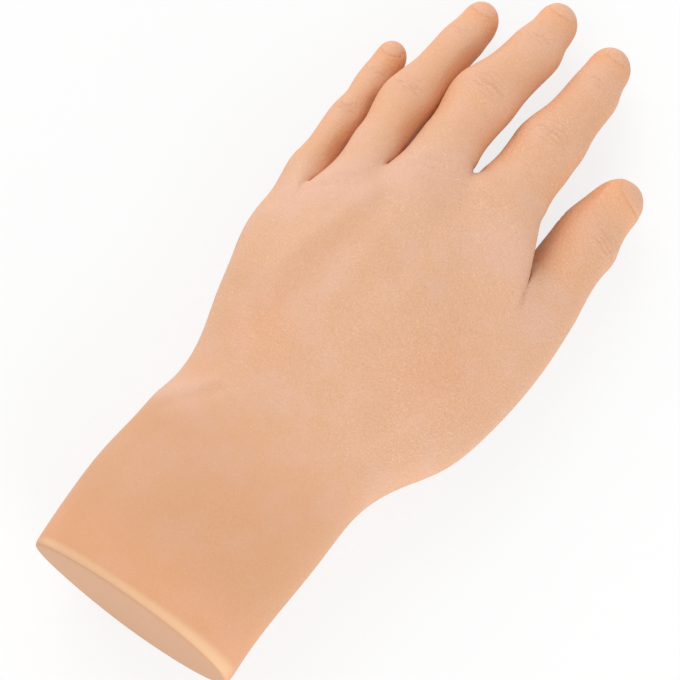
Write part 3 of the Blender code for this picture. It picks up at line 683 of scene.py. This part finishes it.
# Over the back: four knuckles, each by its place and height, then the tendons that lead to them and the
# hollows between, each by its height, its breadth and its line.
for x, y, height in ((11, 140, 1.0), (-11.5, 141, 1.1), (-28.5, 131, 0.9), (-39.5, 115, 0.7)):
    raised += height * near_spot(x, y, 8) * on_back
    pink += 0.6 * near_spot(x, y + 2, 9) * on_back
for height, breadth, path in (
    (1.4, 3.2, ((-20, 81), (-26.5, 94), (-27, 101), (-25.5, 114), (-22, 127), (-17, 145))),
    (0.6, 3.4, ((-29, 90), (-29.5, 110), (-28.5, 134))),
    (0.55, 3.0, ((-9, 84), (-10, 110), (-11.5, 140))),
    (0.5, 3.2, ((0, 84), (5, 110), (11, 140))),
    (0.5, 2.6, ((-33, 88), (-37, 102), (-40, 118))),
    (-0.9, 4.2, ((-18, 86), (-19.5, 104), (-15, 126))),
    (-0.7, 4.5, ((0, 112), (0, 152))),
    (-0.5, 4.0, ((24, 66), (30, 84), (36, 104))),
    (0.5, 3.0, ((20, 70), (27, 92), (34, 112))),
):
    raised += height * near_line(path, breadth) * on_back

# At the wrist: the bone on the little-finger side, the dip before it, and a ridge with a groove beside it.
raised += 1.9 * near_spot(-26.5, 51.5, 7.5) * ease(-0.2, 0.4, facing[:, 2])
pink += 0.8 * near_spot(-28, 56, 7.0) * on_back
raised -= 0.7 * near_spot(-19, 38, 11.0) * on_back
ridge = near_line(((-32, 47.5), (-29.3, 51.5), (-26.8, 56.8), (-23.5, 61.4), (-20, 67)), 1.6) * on_back
raised += 0.4 * ridge
pink += 0.4 * ridge
groove = near_line(((-29, 46), (-26, 51), (-23, 56), (-20, 60), (-16.5, 65)), 1.5) * on_back
raised -= 0.45 * groove
# The groove is painted darker as well: painted shade.
crease += 0.12 * groove

# Across the roots of the fingers the skin is crinkled and pinker, and it is tanned over two patches.
for path in (
    ((-18, 149), (-14, 152), (-9, 152.5)), ((-17, 153), (-12.5, 155.5), (-8, 156)),
    ((-15, 146), (-11, 148.5), (-7, 149)), ((-33, 131), (-29, 135), (-25, 138)),
    ((-34, 127), (-30, 131), (-26, 134)), ((2, 155), (8, 157), (14, 156)),
):
    crinkle = near_line(path, 0.9) * on_back
    raised -= 0.3 * crinkle
    # The crinkles are painted darker: painted shade.
    crease += 0.25 * crinkle
roots = ((-44, 121), (-36, 124), (-28, 134), (-21, 146), (-13, 154), (-4, 159), (6, 160))
pink += 0.8 * near_line(roots, 6.5) * ease(0.0, 0.4, facing[:, 2])
for x, y, radius in ((19, 152, 7), (38, 139, 8), (24, 148, 6)):
    pink += 0.8 * near_spot(x, y, radius) * on_back
for x, y, radius in ((27, 105, 14), (-19, 84, 9)):
    warm += 0.4 * near_spot(x, y, radius) * on_back

# Under the palm: the mounds, each by its place, height and radius, then the lines of the palm, of the wrist
# and of the finger roots, each by its depth, its breadth and its path.
for x, y, height, radius in (
    (-26, 100, 0.8, 16), (-40.5, 137, 1.6, 6.5), (-30.5, 150.5, 1.1, 6.0), (-12, 166, 0.5, 7.0),
):
    raised += height * near_spot(x, y, radius) * on_palm
for depth, breadth, path in (
    (0.9, 1.1, ((23, 146), (12, 141), (3, 128), (1, 110), (8, 90), (15, 78))),
    (0.7, 1.0, ((24, 144), (8, 135), (-10, 125), (-28, 108))),
    (0.75, 1.0, ((-42, 118), (-30, 128), (-14, 138), (-3, 150))),
    (0.6, 0.9, ((-29, 72), (-8, 69.5), (12, 70), (29, 73))),
    (0.4, 0.8, ((-27, 66.5), (-6, 64.5), (14, 65), (27, 67.5))),
    (0.5, 0.8, ((-44, 119), (-40, 124), (-35, 126))),
    (0.5, 0.8, ((-37, 126), (-29, 136), (-22, 141))),
    (0.5, 0.8, ((-24, 141), (-12, 151), (0, 156))),
    (0.5, 0.8, ((-3, 156), (10, 158), (23, 153))),
):
    groove = near_line(path, breadth) * on_palm
    raised -= depth * groove
    # The lines are painted darker: painted shade in their grooves.
    crease += 0.7 * groove

# Low in the webs, beside the little and ring fingers, the two flanks that meet are a little hollow.
WEB_HOLLOW = 0.85
HOLLOW_RADIUS = 4.5
for low_in_web in ((-34.4, 136, 17), (-20.9, 152, 24)):
    deep = hump(np.linalg.norm(on_hand - low_in_web, axis=1), HOLLOW_RADIUS)
    raised -= WEB_HOLLOW * deep * ease(0.3, 0.8, np.abs(facing[:, 0]))

# Where the thumb tucks in beside the index finger, the fold is painted darker as it runs back into the
# hand: painted shade.
fold_path = ((26.5, 158), (28.7, 151), (31.1, 145), (33.2, 138.8), (34.2, 136))
crease += near_line(fold_path, 0.8) * ease(0.0, 0.4, facing[:, 2])

# Each finger has wrinkles over its knuckles, pads and creases underneath, and a short nail.
# A wrinkle is given by its distance from the knuckle, its lean to one side, its reach and its depth.
BIG_WRINKLES = (
    (-3.0, -0.15, 0.40, 0.10), (-1.5, 0.10, 0.62, 0.18), (-0.1, -0.08, 0.70, 0.21),
    (1.3, 0.12, 0.55, 0.17), (2.9, -0.10, 0.42, 0.11),
)
SMALL_WRINKLES = ((-1.0, 0.08, 0.55, 0.12), (0.5, -0.10, 0.62, 0.16), (1.9, 0.12, 0.36, 0.08))
WRINKLE_WIDTH = 0.4
WRINKLE_DEPTH = 1.5
# How much painted shade darkens a wrinkle.
WRINKLE_SHADE = 3.0
# How far knuckles and pads stand out, and creases and flanks lie in, on a finger of full width.
FULL_WIDTH = 20
BIG_KNUCKLE = 0.45
SMALL_KNUCKLE = 0.2
UNDER_CREASE = 0.45
THUMB_CREASE = 0.2
PAD_RISE = 0.7
FLANK_DIP = 0.55
# The nail: its length, how far it stops short of the tip, its half width, and the fold round it.
NAIL_LENGTH = 8.4
NAIL_EDGE = 1.0
NAIL_HALF = 0.33
NAIL_RISE = 0.06
NAIL_GROOVE = 0.25
NAIL_LIP = 0.10
# Curled up, the fingers come to lie against each other. There each is a little flatter: how far along it,
# which way round from its thumb side, how much and how broadly.
FLATS = {
    "little": ((28.5, 28, 0.25, 4.0), (46.0, 15, 0.35, 5.0)),
    "ring": ((38.0, 208, 0.25, 4.0), (51.0, 0, 0.45, 6.0)),
    "middle": ((64.0, 180, 0.50, 6.0),),
    "index": ((25.5, 22, 0.50, 4.0),),
    "thumb": ((41.0, 213, 1.75, 6.5),),
}
for limb in limbs:
    own = np.zeros(count, bool)
    taken = (stretch_of >= limb.first_stretch) & (stretch_of < limb.first_stretch + len(limb.parts))
    own[corners[taken].ravel()] = True
    own = np.flatnonzero(own)
    across = np.array(limb.across)
    run, aside, upward = np.zeros((3, len(own)))
    for number, way in enumerate(limb.ways):
        away = spots[own] - np.array(limb.hinges[number]) / MM
        before = limb.ways[max(number - 1, 0)]
        past = np.full(len(own), True) if number == 0 else away @ np.array(before + way) > 0
        run = np.where(past, limb.runs[number] + away @ np.array(way), run)
        aside = np.where(past, away @ across, aside)
        upward = np.where(past, facing[own] @ np.array(limb.across.cross(way)), upward)
    table = np.linspace(-10, limb.length, 120)
    half = np.interp(run, table, [limb.size_at(value, limb.widths) / 2 for value in table])
    aside -= np.interp(run, table, [limb.size_at(value, limb.sways) for value in table])
    beside = aside / half
    above = ease(0.25, 0.8, upward)
    below = ease(0.1, 0.7, -upward)
    flank = ease(0.35, 0.9, np.abs(facing[own] @ across))
    change = np.zeros(len(own))
    size = limb.widths[1] / FULL_WIDTH
    for knuckle in limb.runs[1:-1]:
        big = knuckle != limb.runs[-2] or limb is thumb
        rise = BIG_KNUCKLE if big else SMALL_KNUCKLE
        change += rise * hump(run - knuckle, 4.5) * (above + 0.7 * flank) * size
        for offset, lean, reach, depth in BIG_WRINKLES if big else SMALL_WRINKLES:
            lean *= (-1) ** limb.number
            bowed = knuckle + offset * (1.2 - 0.5 * beside**2) * size
            bowed += 0.22 * np.sin(1.3 * aside + 2 * limb.number + 3 * offset)
            wrinkle = hump(run - bowed, WRINKLE_WIDTH) * above
            wrinkle *= ease(reach, 0.3 * reach, np.abs(beside - lean))
            change -= WRINKLE_DEPTH * depth * wrinkle
            # The wrinkles, and the creases under the knuckles, are painted darker: painted shade.
            crease[own] += WRINKLE_SHADE * depth * wrinkle
        for offset in (-0.9, 0.9) if big else (0.0,):
            groove = hump(run - knuckle - offset, 0.7) * below
            change -= (THUMB_CREASE if limb is thumb else UNDER_CREASE) * size * groove
            crease[own] += 0.5 * groove
        pink[own] += 0.3 * hump(run - knuckle, 5.5) * above
    for low, high in zip(limb.runs, limb.runs[1:]):
        from_middle = run - (low + high) / 2
        change += PAD_RISE * (limb.widths[0] / FULL_WIDTH) * hump(from_middle, 0.28 * (high - low)) * below
        if high < limb.length:
            change -= FLANK_DIP * hump(from_middle, 0.24 * (high - low)) * flank
    for place, round_degrees, depth, breadth in FLATS[limb.name]:
        turn = math.radians(round_degrees)
        towards = facing[own] @ across * math.cos(turn) + upward * math.sin(turn)
        change -= depth * hump(run - place, breadth) * ease(0.35, 0.9, towards)
    half_nail = NAIL_HALF * limb.widths[-1]
    nail_start = limb.length - NAIL_LENGTH * (0.75 + 0.25 * limb.widths[-1] / 14)
    nail_start = nail_start + 1.5 * (aside / half_nail) ** 2
    nail_end = limb.length - NAIL_EDGE - 1.2 * (aside / half_nail) ** 2
    inside = np.minimum(half_nail - np.abs(aside), np.minimum(run - nail_start, nail_end - run))
    on_nail = ease(0.0, 0.6, upward) * ease(0.0, 2.0, nail_end - run)
    at_root = ease(half_nail, 0.5 * half_nail, np.abs(aside))
    fold = hump(inside + 0.2, 0.32) * on_nail * (0.35 + 0.65 * at_root)
    change += NAIL_RISE * ease(-0.2, 0.8, inside) * on_nail - NAIL_GROOVE * fold
    change += NAIL_LIP * hump(inside + 1.2, 0.7) * on_nail * at_root
    # The fold round the nail is painted darker: painted shade.
    crease[own] += 0.5 * fold
    pink[own] += 0.6 * ease(0.0, 0.8, inside) * on_nail
    warm[own] += 0.75 * ease(limb.length - 17, limb.length - 4, run)
    # The fingers are warmer, and more so on their flanks towards the next finger, where the deeper orange
    # is painted shade between the fingers.
    warm[own] += (0.3 + 0.3 * flank) * ease(2, 12, run)
    # The tips are painted lighter, the thumb's the most: painted light.
    bright[own] += (0.7 if limb is thumb else 0.15) * ease(limb.length - 26, limb.length - 8, run)
    raised[own] += change * ease(5.0, 9.0, run)
    crease[own] *= ease(4.5, 8.0, run)

# The wrist is tanner, and warm next to its end. The end is cut, so it is matt and a little duller, inside a
# rounded rim whose top is painted lighter as a painted highlight. The grain fades towards the wrist and
# towards the little finger.
tan = 0.55 * ease(72, 30, on_hand[:, 1]) * (1 - 0.4 * ease(22, 5, on_hand[:, 1]))
warm += 0.45 * ease(26, 4, on_hand[:, 1])
height_share = on_hand[:, 2] / WRIST_TOP
cut_away = on_hand[:, 1] - on_hand[:, 0] * math.tan(WRIST_SKEW) * (0.5 + 0.5 * height_share)
cut_away += WRIST_LEAN * (1 - height_share)
cut_face = ease(0.75, 0.97, -facing[:, 1]) * (cut_away < 1)
rim_highlight_width = 2.2 + 1.0 * ease(-10, 34, on_hand[:, 0])
# Along the top of the rounded rim the colour is lighter: a painted highlight.
rim = ease(1.5, 0.6, cut_away / rim_highlight_width) * (1 - cut_face) * on_back
# The grain mark also scales the painted pore shading and the painted glints.
grain = 0.3 + 0.7 * ease(48, 88, on_hand[:, 1])
grain *= 0.65 + 0.35 * ease(-34, 8, on_hand[:, 0])
spots += facing * raised[:, None]
hand.data.vertices.foreach_set("co", (spots * MM).astype(np.float32).ravel())
hand.data.update()
for name, values in (
    ("pink", pink), ("warm", warm), ("bright", bright), ("tan", tan), ("crease", crease),
    ("cut", cut_face), ("rim", rim), ("grain", grain),
):
    marks = hand.data.attributes.new(name, "FLOAT", "POINT")
    marks.data.foreach_set("value", np.clip(values, 0, 1).astype(np.float32))
hand.data.vertex_normals.foreach_get("vector", facing.reshape(-1))
whole = hand.data.attributes.new("whole_facing", "FLOAT_VECTOR", "POINT")
whole.data.foreach_set("vector", facing.ravel())

# Silicone of the skin
# Platinum silicone tinted through in a flesh colour, matt from the mould, with the pores and fine lines
# of the skin it was taken from. The tint is warmer at the tips and wrist and pinker over the knuckles.

PLAIN_FLESH = (0.730, 0.395, 0.225)
ORANGE_FLESH = (0.805, 0.348, 0.148)
# The colour of the painted light on the tips.
TIP_LIGHT_FLESH = (0.930, 0.440, 0.210)
PINK_FLESH = (0.760, 0.442, 0.315)
TAN_FLESH = (0.610, 0.290, 0.128)
# The colour of the painted shade in creases, wrinkles, folds and lines.
CREASE_SHADE_FLESH = (0.500, 0.190, 0.092)
PALE_FLESH = (0.795, 0.452, 0.272)
# The colour of the painted glints and of the painted light on the pore relief.
LIGHT_SPECK_FLESH = (0.900, 0.600, 0.430)
CUT_FLESH = (0.685, 0.375, 0.212)
# The colour of the painted highlight on the rim.
RIM_HIGHLIGHT_FLESH = (0.850, 0.525, 0.305)
# How close the pores and marks lie: so many to a metre.
PORES = 1000.0
PITS = 1700.0
CROSS_LINES = 1100.0
SPECKS = 1900.0
FINE_MOTTLE = 420.0
BLUSHES = 90.0
BROAD_MOTTLE = 55.0
ROUGHNESS = 0.56
GLINT_GLOSS = -0.22
SKIN_BUMP = 0.44
SKIN_DEPTH = 0.0005
NOISE = "ShaderNodeTexNoise"

pores, pores_in, pores_out = new_socket_group(
    "silicone_skin_texture",
    (("Pores", "NodeSocketFloat", PORES),),
    [(label, "NodeSocketFloat") for label in ("Height", "Mottle", "Fleck", "Glint", "Blush")],
)
where = pores.nodes.new("ShaderNodeTexCoord")


def texture(kind, scale, detail=2.0, stretch=(1, 1, 1)):
    """A noise or cell texture in the skin group, on the casting's own coordinates."""
    node = pores.nodes.new(kind)
    place = pores.nodes.new("ShaderNodeMapping")
    place.inputs["Scale"].default_value = stretch
    pores.links.new(where.outputs["Object"], place.inputs["Vector"])
    pores.links.new(place.outputs["Vector"], node.inputs["Vector"])
    node.inputs["Scale"].default_value = scale
    node.inputs["Detail"].default_value = detail
    return node


def blended(group, operation, first, second):
    """Two values put together by a Math node. Either may be a plain number."""
    node = group.nodes.new("ShaderNodeMath")
    node.operation = operation
    for socket, value in zip(node.inputs, (first, second)):
        if isinstance(value, (int, float)):
            socket.default_value = value
        else:
            group.links.new(value, socket)
    return node.outputs["Value"]


cells = texture("ShaderNodeTexVoronoi", PORES)
pores.links.new(pores_in.outputs["Pores"], cells.inputs["Scale"])
pits = texture(NOISE, PITS, 3.0).outputs["Fac"]
cross_lines = texture(NOISE, CROSS_LINES, 2.0, (0.35, 1.4, 0.8)).outputs["Fac"]
height = blended(pores, "ADD", blended(pores, "MULTIPLY", cells.outputs["Distance"], 0.5), pits)
height = blended(pores, "ADD", height, blended(pores, "MULTIPLY", cross_lines, 0.8))
broad = texture(NOISE, BROAD_MOTTLE, 4.0).outputs["Fac"]
fine = texture(NOISE, FINE_MOTTLE, 3.0).outputs["Fac"]
specks = texture(NOISE, SPECKS, 1.0, (0.6, 1.2, 1.0)).outputs["Fac"]
drifts = spread(pores, broad, 0.40, 0.62, 0.25, 1)
for label, value in (
    ("Height", height),
    ("Mottle", blended(pores, "ADD", broad, blended(pores, "MULTIPLY", fine, 0.5))),
    # Lighter on the raised grain of the pits, darker between: painted light and shade of the pore relief.
    ("Fleck", spread(pores, pits, 0.30, 0.70)),
    # Specks of glint, gathered in drifts: glossier, and painted lighter in the colour as painted glints.
    ("Glint", blended(pores, "MULTIPLY", spread(pores, specks, 0.62, 0.72), drifts)),
    ("Blush", spread(pores, texture(NOISE, BLUSHES).outputs["Fac"], 0.48, 0.68)),
):
    pores.links.new(value, pores_out.inputs[label])

skin = bpy.data.materials.new("flesh_silicone")
skin.use_nodes = True
nodes = skin.node_tree.nodes
links = skin.node_tree.links
shader = nodes["Principled BSDF"]
shader.inputs["IOR"].default_value = 1.41
shader.inputs["Sheen Weight"].default_value = 0.06
shader.inputs["Sheen Roughness"].default_value = 0.4
shader.inputs["Sheen Tint"].default_value = (1.0, 0.86, 0.8, 1)
skin_texture = nodes.new("ShaderNodeGroup")
skin_texture.node_tree = pores


def mark(name):
    node = nodes.new("ShaderNodeAttribute")
    node.attribute_name = name
    return node.outputs["Fac"]


def tinted(under, amount, colour, strength):
    """Mixes a tint over a colour by one of the casting's marks."""
    mix = nodes.new("ShaderNodeMix")
    mix.data_type = "RGBA"
    links.new(blended(skin.node_tree, "MULTIPLY", amount, strength), mix.inputs["Factor"])
    if under is None:
        mix.inputs["A"].default_value = (*PLAIN_FLESH, 1)
    else:
        links.new(under, mix.inputs["A"])
    mix.inputs["B"].default_value = (*colour, 1)
    return mix.outputs["Result"]


def textured(label, operation, other):
    """One of the skin texture's values, put together with a mark or a number."""
    return blended(skin.node_tree, operation, skin_texture.outputs[label], other)


colour = None
for amount, tint, strength in (
    (textured("Mottle", "SUBTRACT", 0.45), PALE_FLESH, 0.5),
    (skin_texture.outputs["Blush"], PINK_FLESH, 0.55),
    (mark("tan"), TAN_FLESH, 0.8),
    # Warmer tips, wrist and fingers, with painted shade on the finger flanks.
    (mark("warm"), ORANGE_FLESH, 0.8),
    # Lighter tips: painted light.
    (mark("bright"), TIP_LIGHT_FLESH, 0.8),
    (mark("pink"), PINK_FLESH, 0.8),
    # Creases, wrinkles, lines and folds darkened: painted shade.
    (mark("crease"), CREASE_SHADE_FLESH, 0.4),
    # Pore relief lighter on top: painted light and shade.
    (textured("Fleck", "MULTIPLY", mark("grain")), LIGHT_SPECK_FLESH, 0.38),
    # Specks of glint, thicker on the pink places, painted lighter: painted glints.
    (textured("Glint", "MULTIPLY", mark("grain")), LIGHT_SPECK_FLESH, 0.75),
    (textured("Glint", "MULTIPLY", mark("pink")), LIGHT_SPECK_FLESH, 0.7),
    # The rim's top lighter: a painted highlight.
    (mark("rim"), RIM_HIGHLIGHT_FLESH, 0.9),
    (mark("cut"), CUT_FLESH, 0.95),
):
    colour = tinted(colour, amount, tint, strength)
links.new(colour, shader.inputs["Base Color"])
glossed = blended(skin.node_tree, "ADD", textured("Glint", "MULTIPLY", GLINT_GLOSS), ROUGHNESS)
links.new(glossed, shader.inputs["Roughness"])
bump = nodes.new("ShaderNodeBump")
bump.inputs["Strength"].default_value = SKIN_BUMP
bump.inputs["Distance"].default_value = SKIN_DEPTH
links.new(textured("Height", "MULTIPLY", mark("grain")), bump.inputs["Height"])
links.new(bump.outputs["Normal"], shader.inputs["Normal"])

# Stretches of skin over the joints
# The casting is one piece, with the armature inside it. It is taken apart here at places that keep still,
# so that each stretch lies over one hinge, and each open end is closed.

ROOT_CLEAR = 0.2
bpy.ops.object.mode_set(mode="EDIT")
bpy.ops.mesh.select_all(action="SELECT")
bpy.ops.mesh.separate(type="MATERIAL")
bpy.ops.object.mode_set(mode="OBJECT")
castings = {}
for piece in list(bpy.context.selected_objects):
    name = piece.data.materials[piece.data.polygons[0].material_index].name
    castings[name] = piece
    piece.name = piece.data.name = name
    bpy.ops.object.select_all(action="DESELECT")
    piece.select_set(True)
    bpy.context.view_layer.objects.active = piece
    skin_faces = len(piece.data.polygons)
    bpy.ops.object.mode_set(mode="EDIT")
    bpy.ops.mesh.select_mode(type="EDGE")
    bpy.ops.mesh.select_all(action="DESELECT")
    bpy.ops.mesh.select_non_manifold()
    bpy.ops.mesh.edge_face_add()
    bpy.ops.object.mode_set(mode="OBJECT")
    piece.data.materials.clear()
    piece.data.materials.append(skin)
    # The skin keeps the smooth shading of the whole casting, and the closed ends are shaded flat.
    smooth = np.empty(len(piece.data.vertices) * 3, np.float32)
    piece.data.attributes["whole_facing"].data.foreach_get("vector", smooth)
    smooth = smooth.reshape(-1, 3)
    turned = np.empty((len(piece.data.loops), 3), np.float32)
    for polygon in piece.data.polygons:
        polygon.material_index = 0
        inner = polygon.index >= skin_faces
        for corner in polygon.loop_indices:
            turned[corner] = polygon.normal if inner else smooth[piece.data.loops[corner].vertex_index]
    piece.data.attributes.remove(piece.data.attributes["whole_facing"])
    piece.data.normals_split_custom_set(turned)
for name in stretches:
    bpy.data.materials.remove(bpy.data.materials[name])
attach(castings["palm_casting"], "palm")
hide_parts("palm_skin")
for limb in limbs:
    zones = [(limb.root[0] + ROOT_CLEAR, limb.root[1])]
    zones += [(run - KNUCKLE_HALF, run + KNUCKLE_HALF) for run in limb.runs[1:-1]]
    for number, (part, (low, high)) in enumerate(zip(limb.parts, zones)):
        piece = castings[f"{limb.name}_{part}_casting"]
        before = limb.ways[max(number - 1, 0)]
        way = (before + limb.ways[number]).normalized()
        offset = limb.runs[number]
        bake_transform(piece)
        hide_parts(limb.bodies[number + 1] + "_skin")

# Studio
# A plain white table under the hand, one large soft lamp above the little-finger side, a small one low on
# the thumb side, and a camera high behind the wrist, turned so that the hand lies aslant in the picture.

FLOOR_SIZE = 4
FLOOR_HEIGHT = -0.0002
SEEN_WHITE = 0.80
WORLD_STRENGTH = 0.60
LAMP_AIM = (0, 0, 0.02)
LENS = 136.8
SENSOR = 36
CAMERA_TURN = math.radians(38.5)
WHITE = (1, 1, 1, 1)
bpy.ops.object.select_all(action="DESELECT")
bpy.ops.mesh.primitive_plane_add(size=FLOOR_SIZE, location=(0, 0, FLOOR_HEIGHT))
floor = bpy.context.object
floor.name = "studio_floor"
white = bpy.data.materials.new("studio_white")
white.use_nodes = True
nodes = white.node_tree.nodes
links = white.node_tree.links
plain = nodes["Principled BSDF"]
plain.inputs["Base Color"].default_value = (0.92, 0.92, 0.92, 1)
plain.inputs["Roughness"].default_value = 0.9
glow = nodes.new("ShaderNodeEmission")
glow.inputs["Color"].default_value = WHITE
ray = nodes.new("ShaderNodeLightPath").outputs
seen = blended(white.node_tree, "MAXIMUM", ray["Is Camera Ray"], ray["Is Glossy Ray"])
both = nodes.new("ShaderNodeMixShader")
links.new(blended(white.node_tree, "MULTIPLY", seen, SEEN_WHITE), both.inputs["Fac"])
links.new(plain.outputs["BSDF"], both.inputs[1])
links.new(glow.outputs["Emission"], both.inputs[2])
links.new(both.outputs["Shader"], nodes["Material Output"].inputs["Surface"])
floor.data.materials.append(white)
scene = bpy.context.scene
scene.world = scene.world or bpy.data.worlds.new("studio_light")
scene.world.use_nodes = True
background = scene.world.node_tree.nodes["Background"]
background.inputs["Color"].default_value = WHITE
background.inputs["Strength"].default_value = WORLD_STRENGTH


def softbox(name, place, size, power):
    lamp = bpy.data.lights.new(name, "AREA")
    lamp.size = size
    lamp.energy = power
    box = bpy.data.objects.new(name, lamp)
    scene.collection.objects.link(box)
    box.location = place
    box.rotation_euler = (Vector(LAMP_AIM) - Vector(place)).to_track_quat("-Z", "Y").to_euler()


softbox("key_softbox", (-1.52, 0.84, 1.20), 1.6, 25.6)
softbox("fill_softbox", (0.76, -0.52, 0.45), 0.8, 5.3)

camera_lens = bpy.data.cameras.new("photo_camera")
camera_lens.lens = LENS
camera_lens.sensor_width = SENSOR
camera_lens.clip_end = 20
camera = bpy.data.objects.new("photo_camera", camera_lens)
scene.collection.objects.link(camera)
aim = at_hand(-1.35, 100.0, 20.0)
eye = at_hand(-1.35, -117.5, 731.5)
sight = (aim - eye).normalized()
level_right = sight.cross(Vector((0, 0, 1))).normalized()
level_up = level_right.cross(sight)
right = level_right * math.cos(CAMERA_TURN) + level_up * math.sin(CAMERA_TURN)
up = level_up * math.cos(CAMERA_TURN) - level_right * math.sin(CAMERA_TURN)
camera.matrix_world = Matrix.Translation(eye) @ Matrix((right, up, -sight)).transposed().to_4x4()
scene.camera = camera
scene.view_settings.view_transform = "Standard"
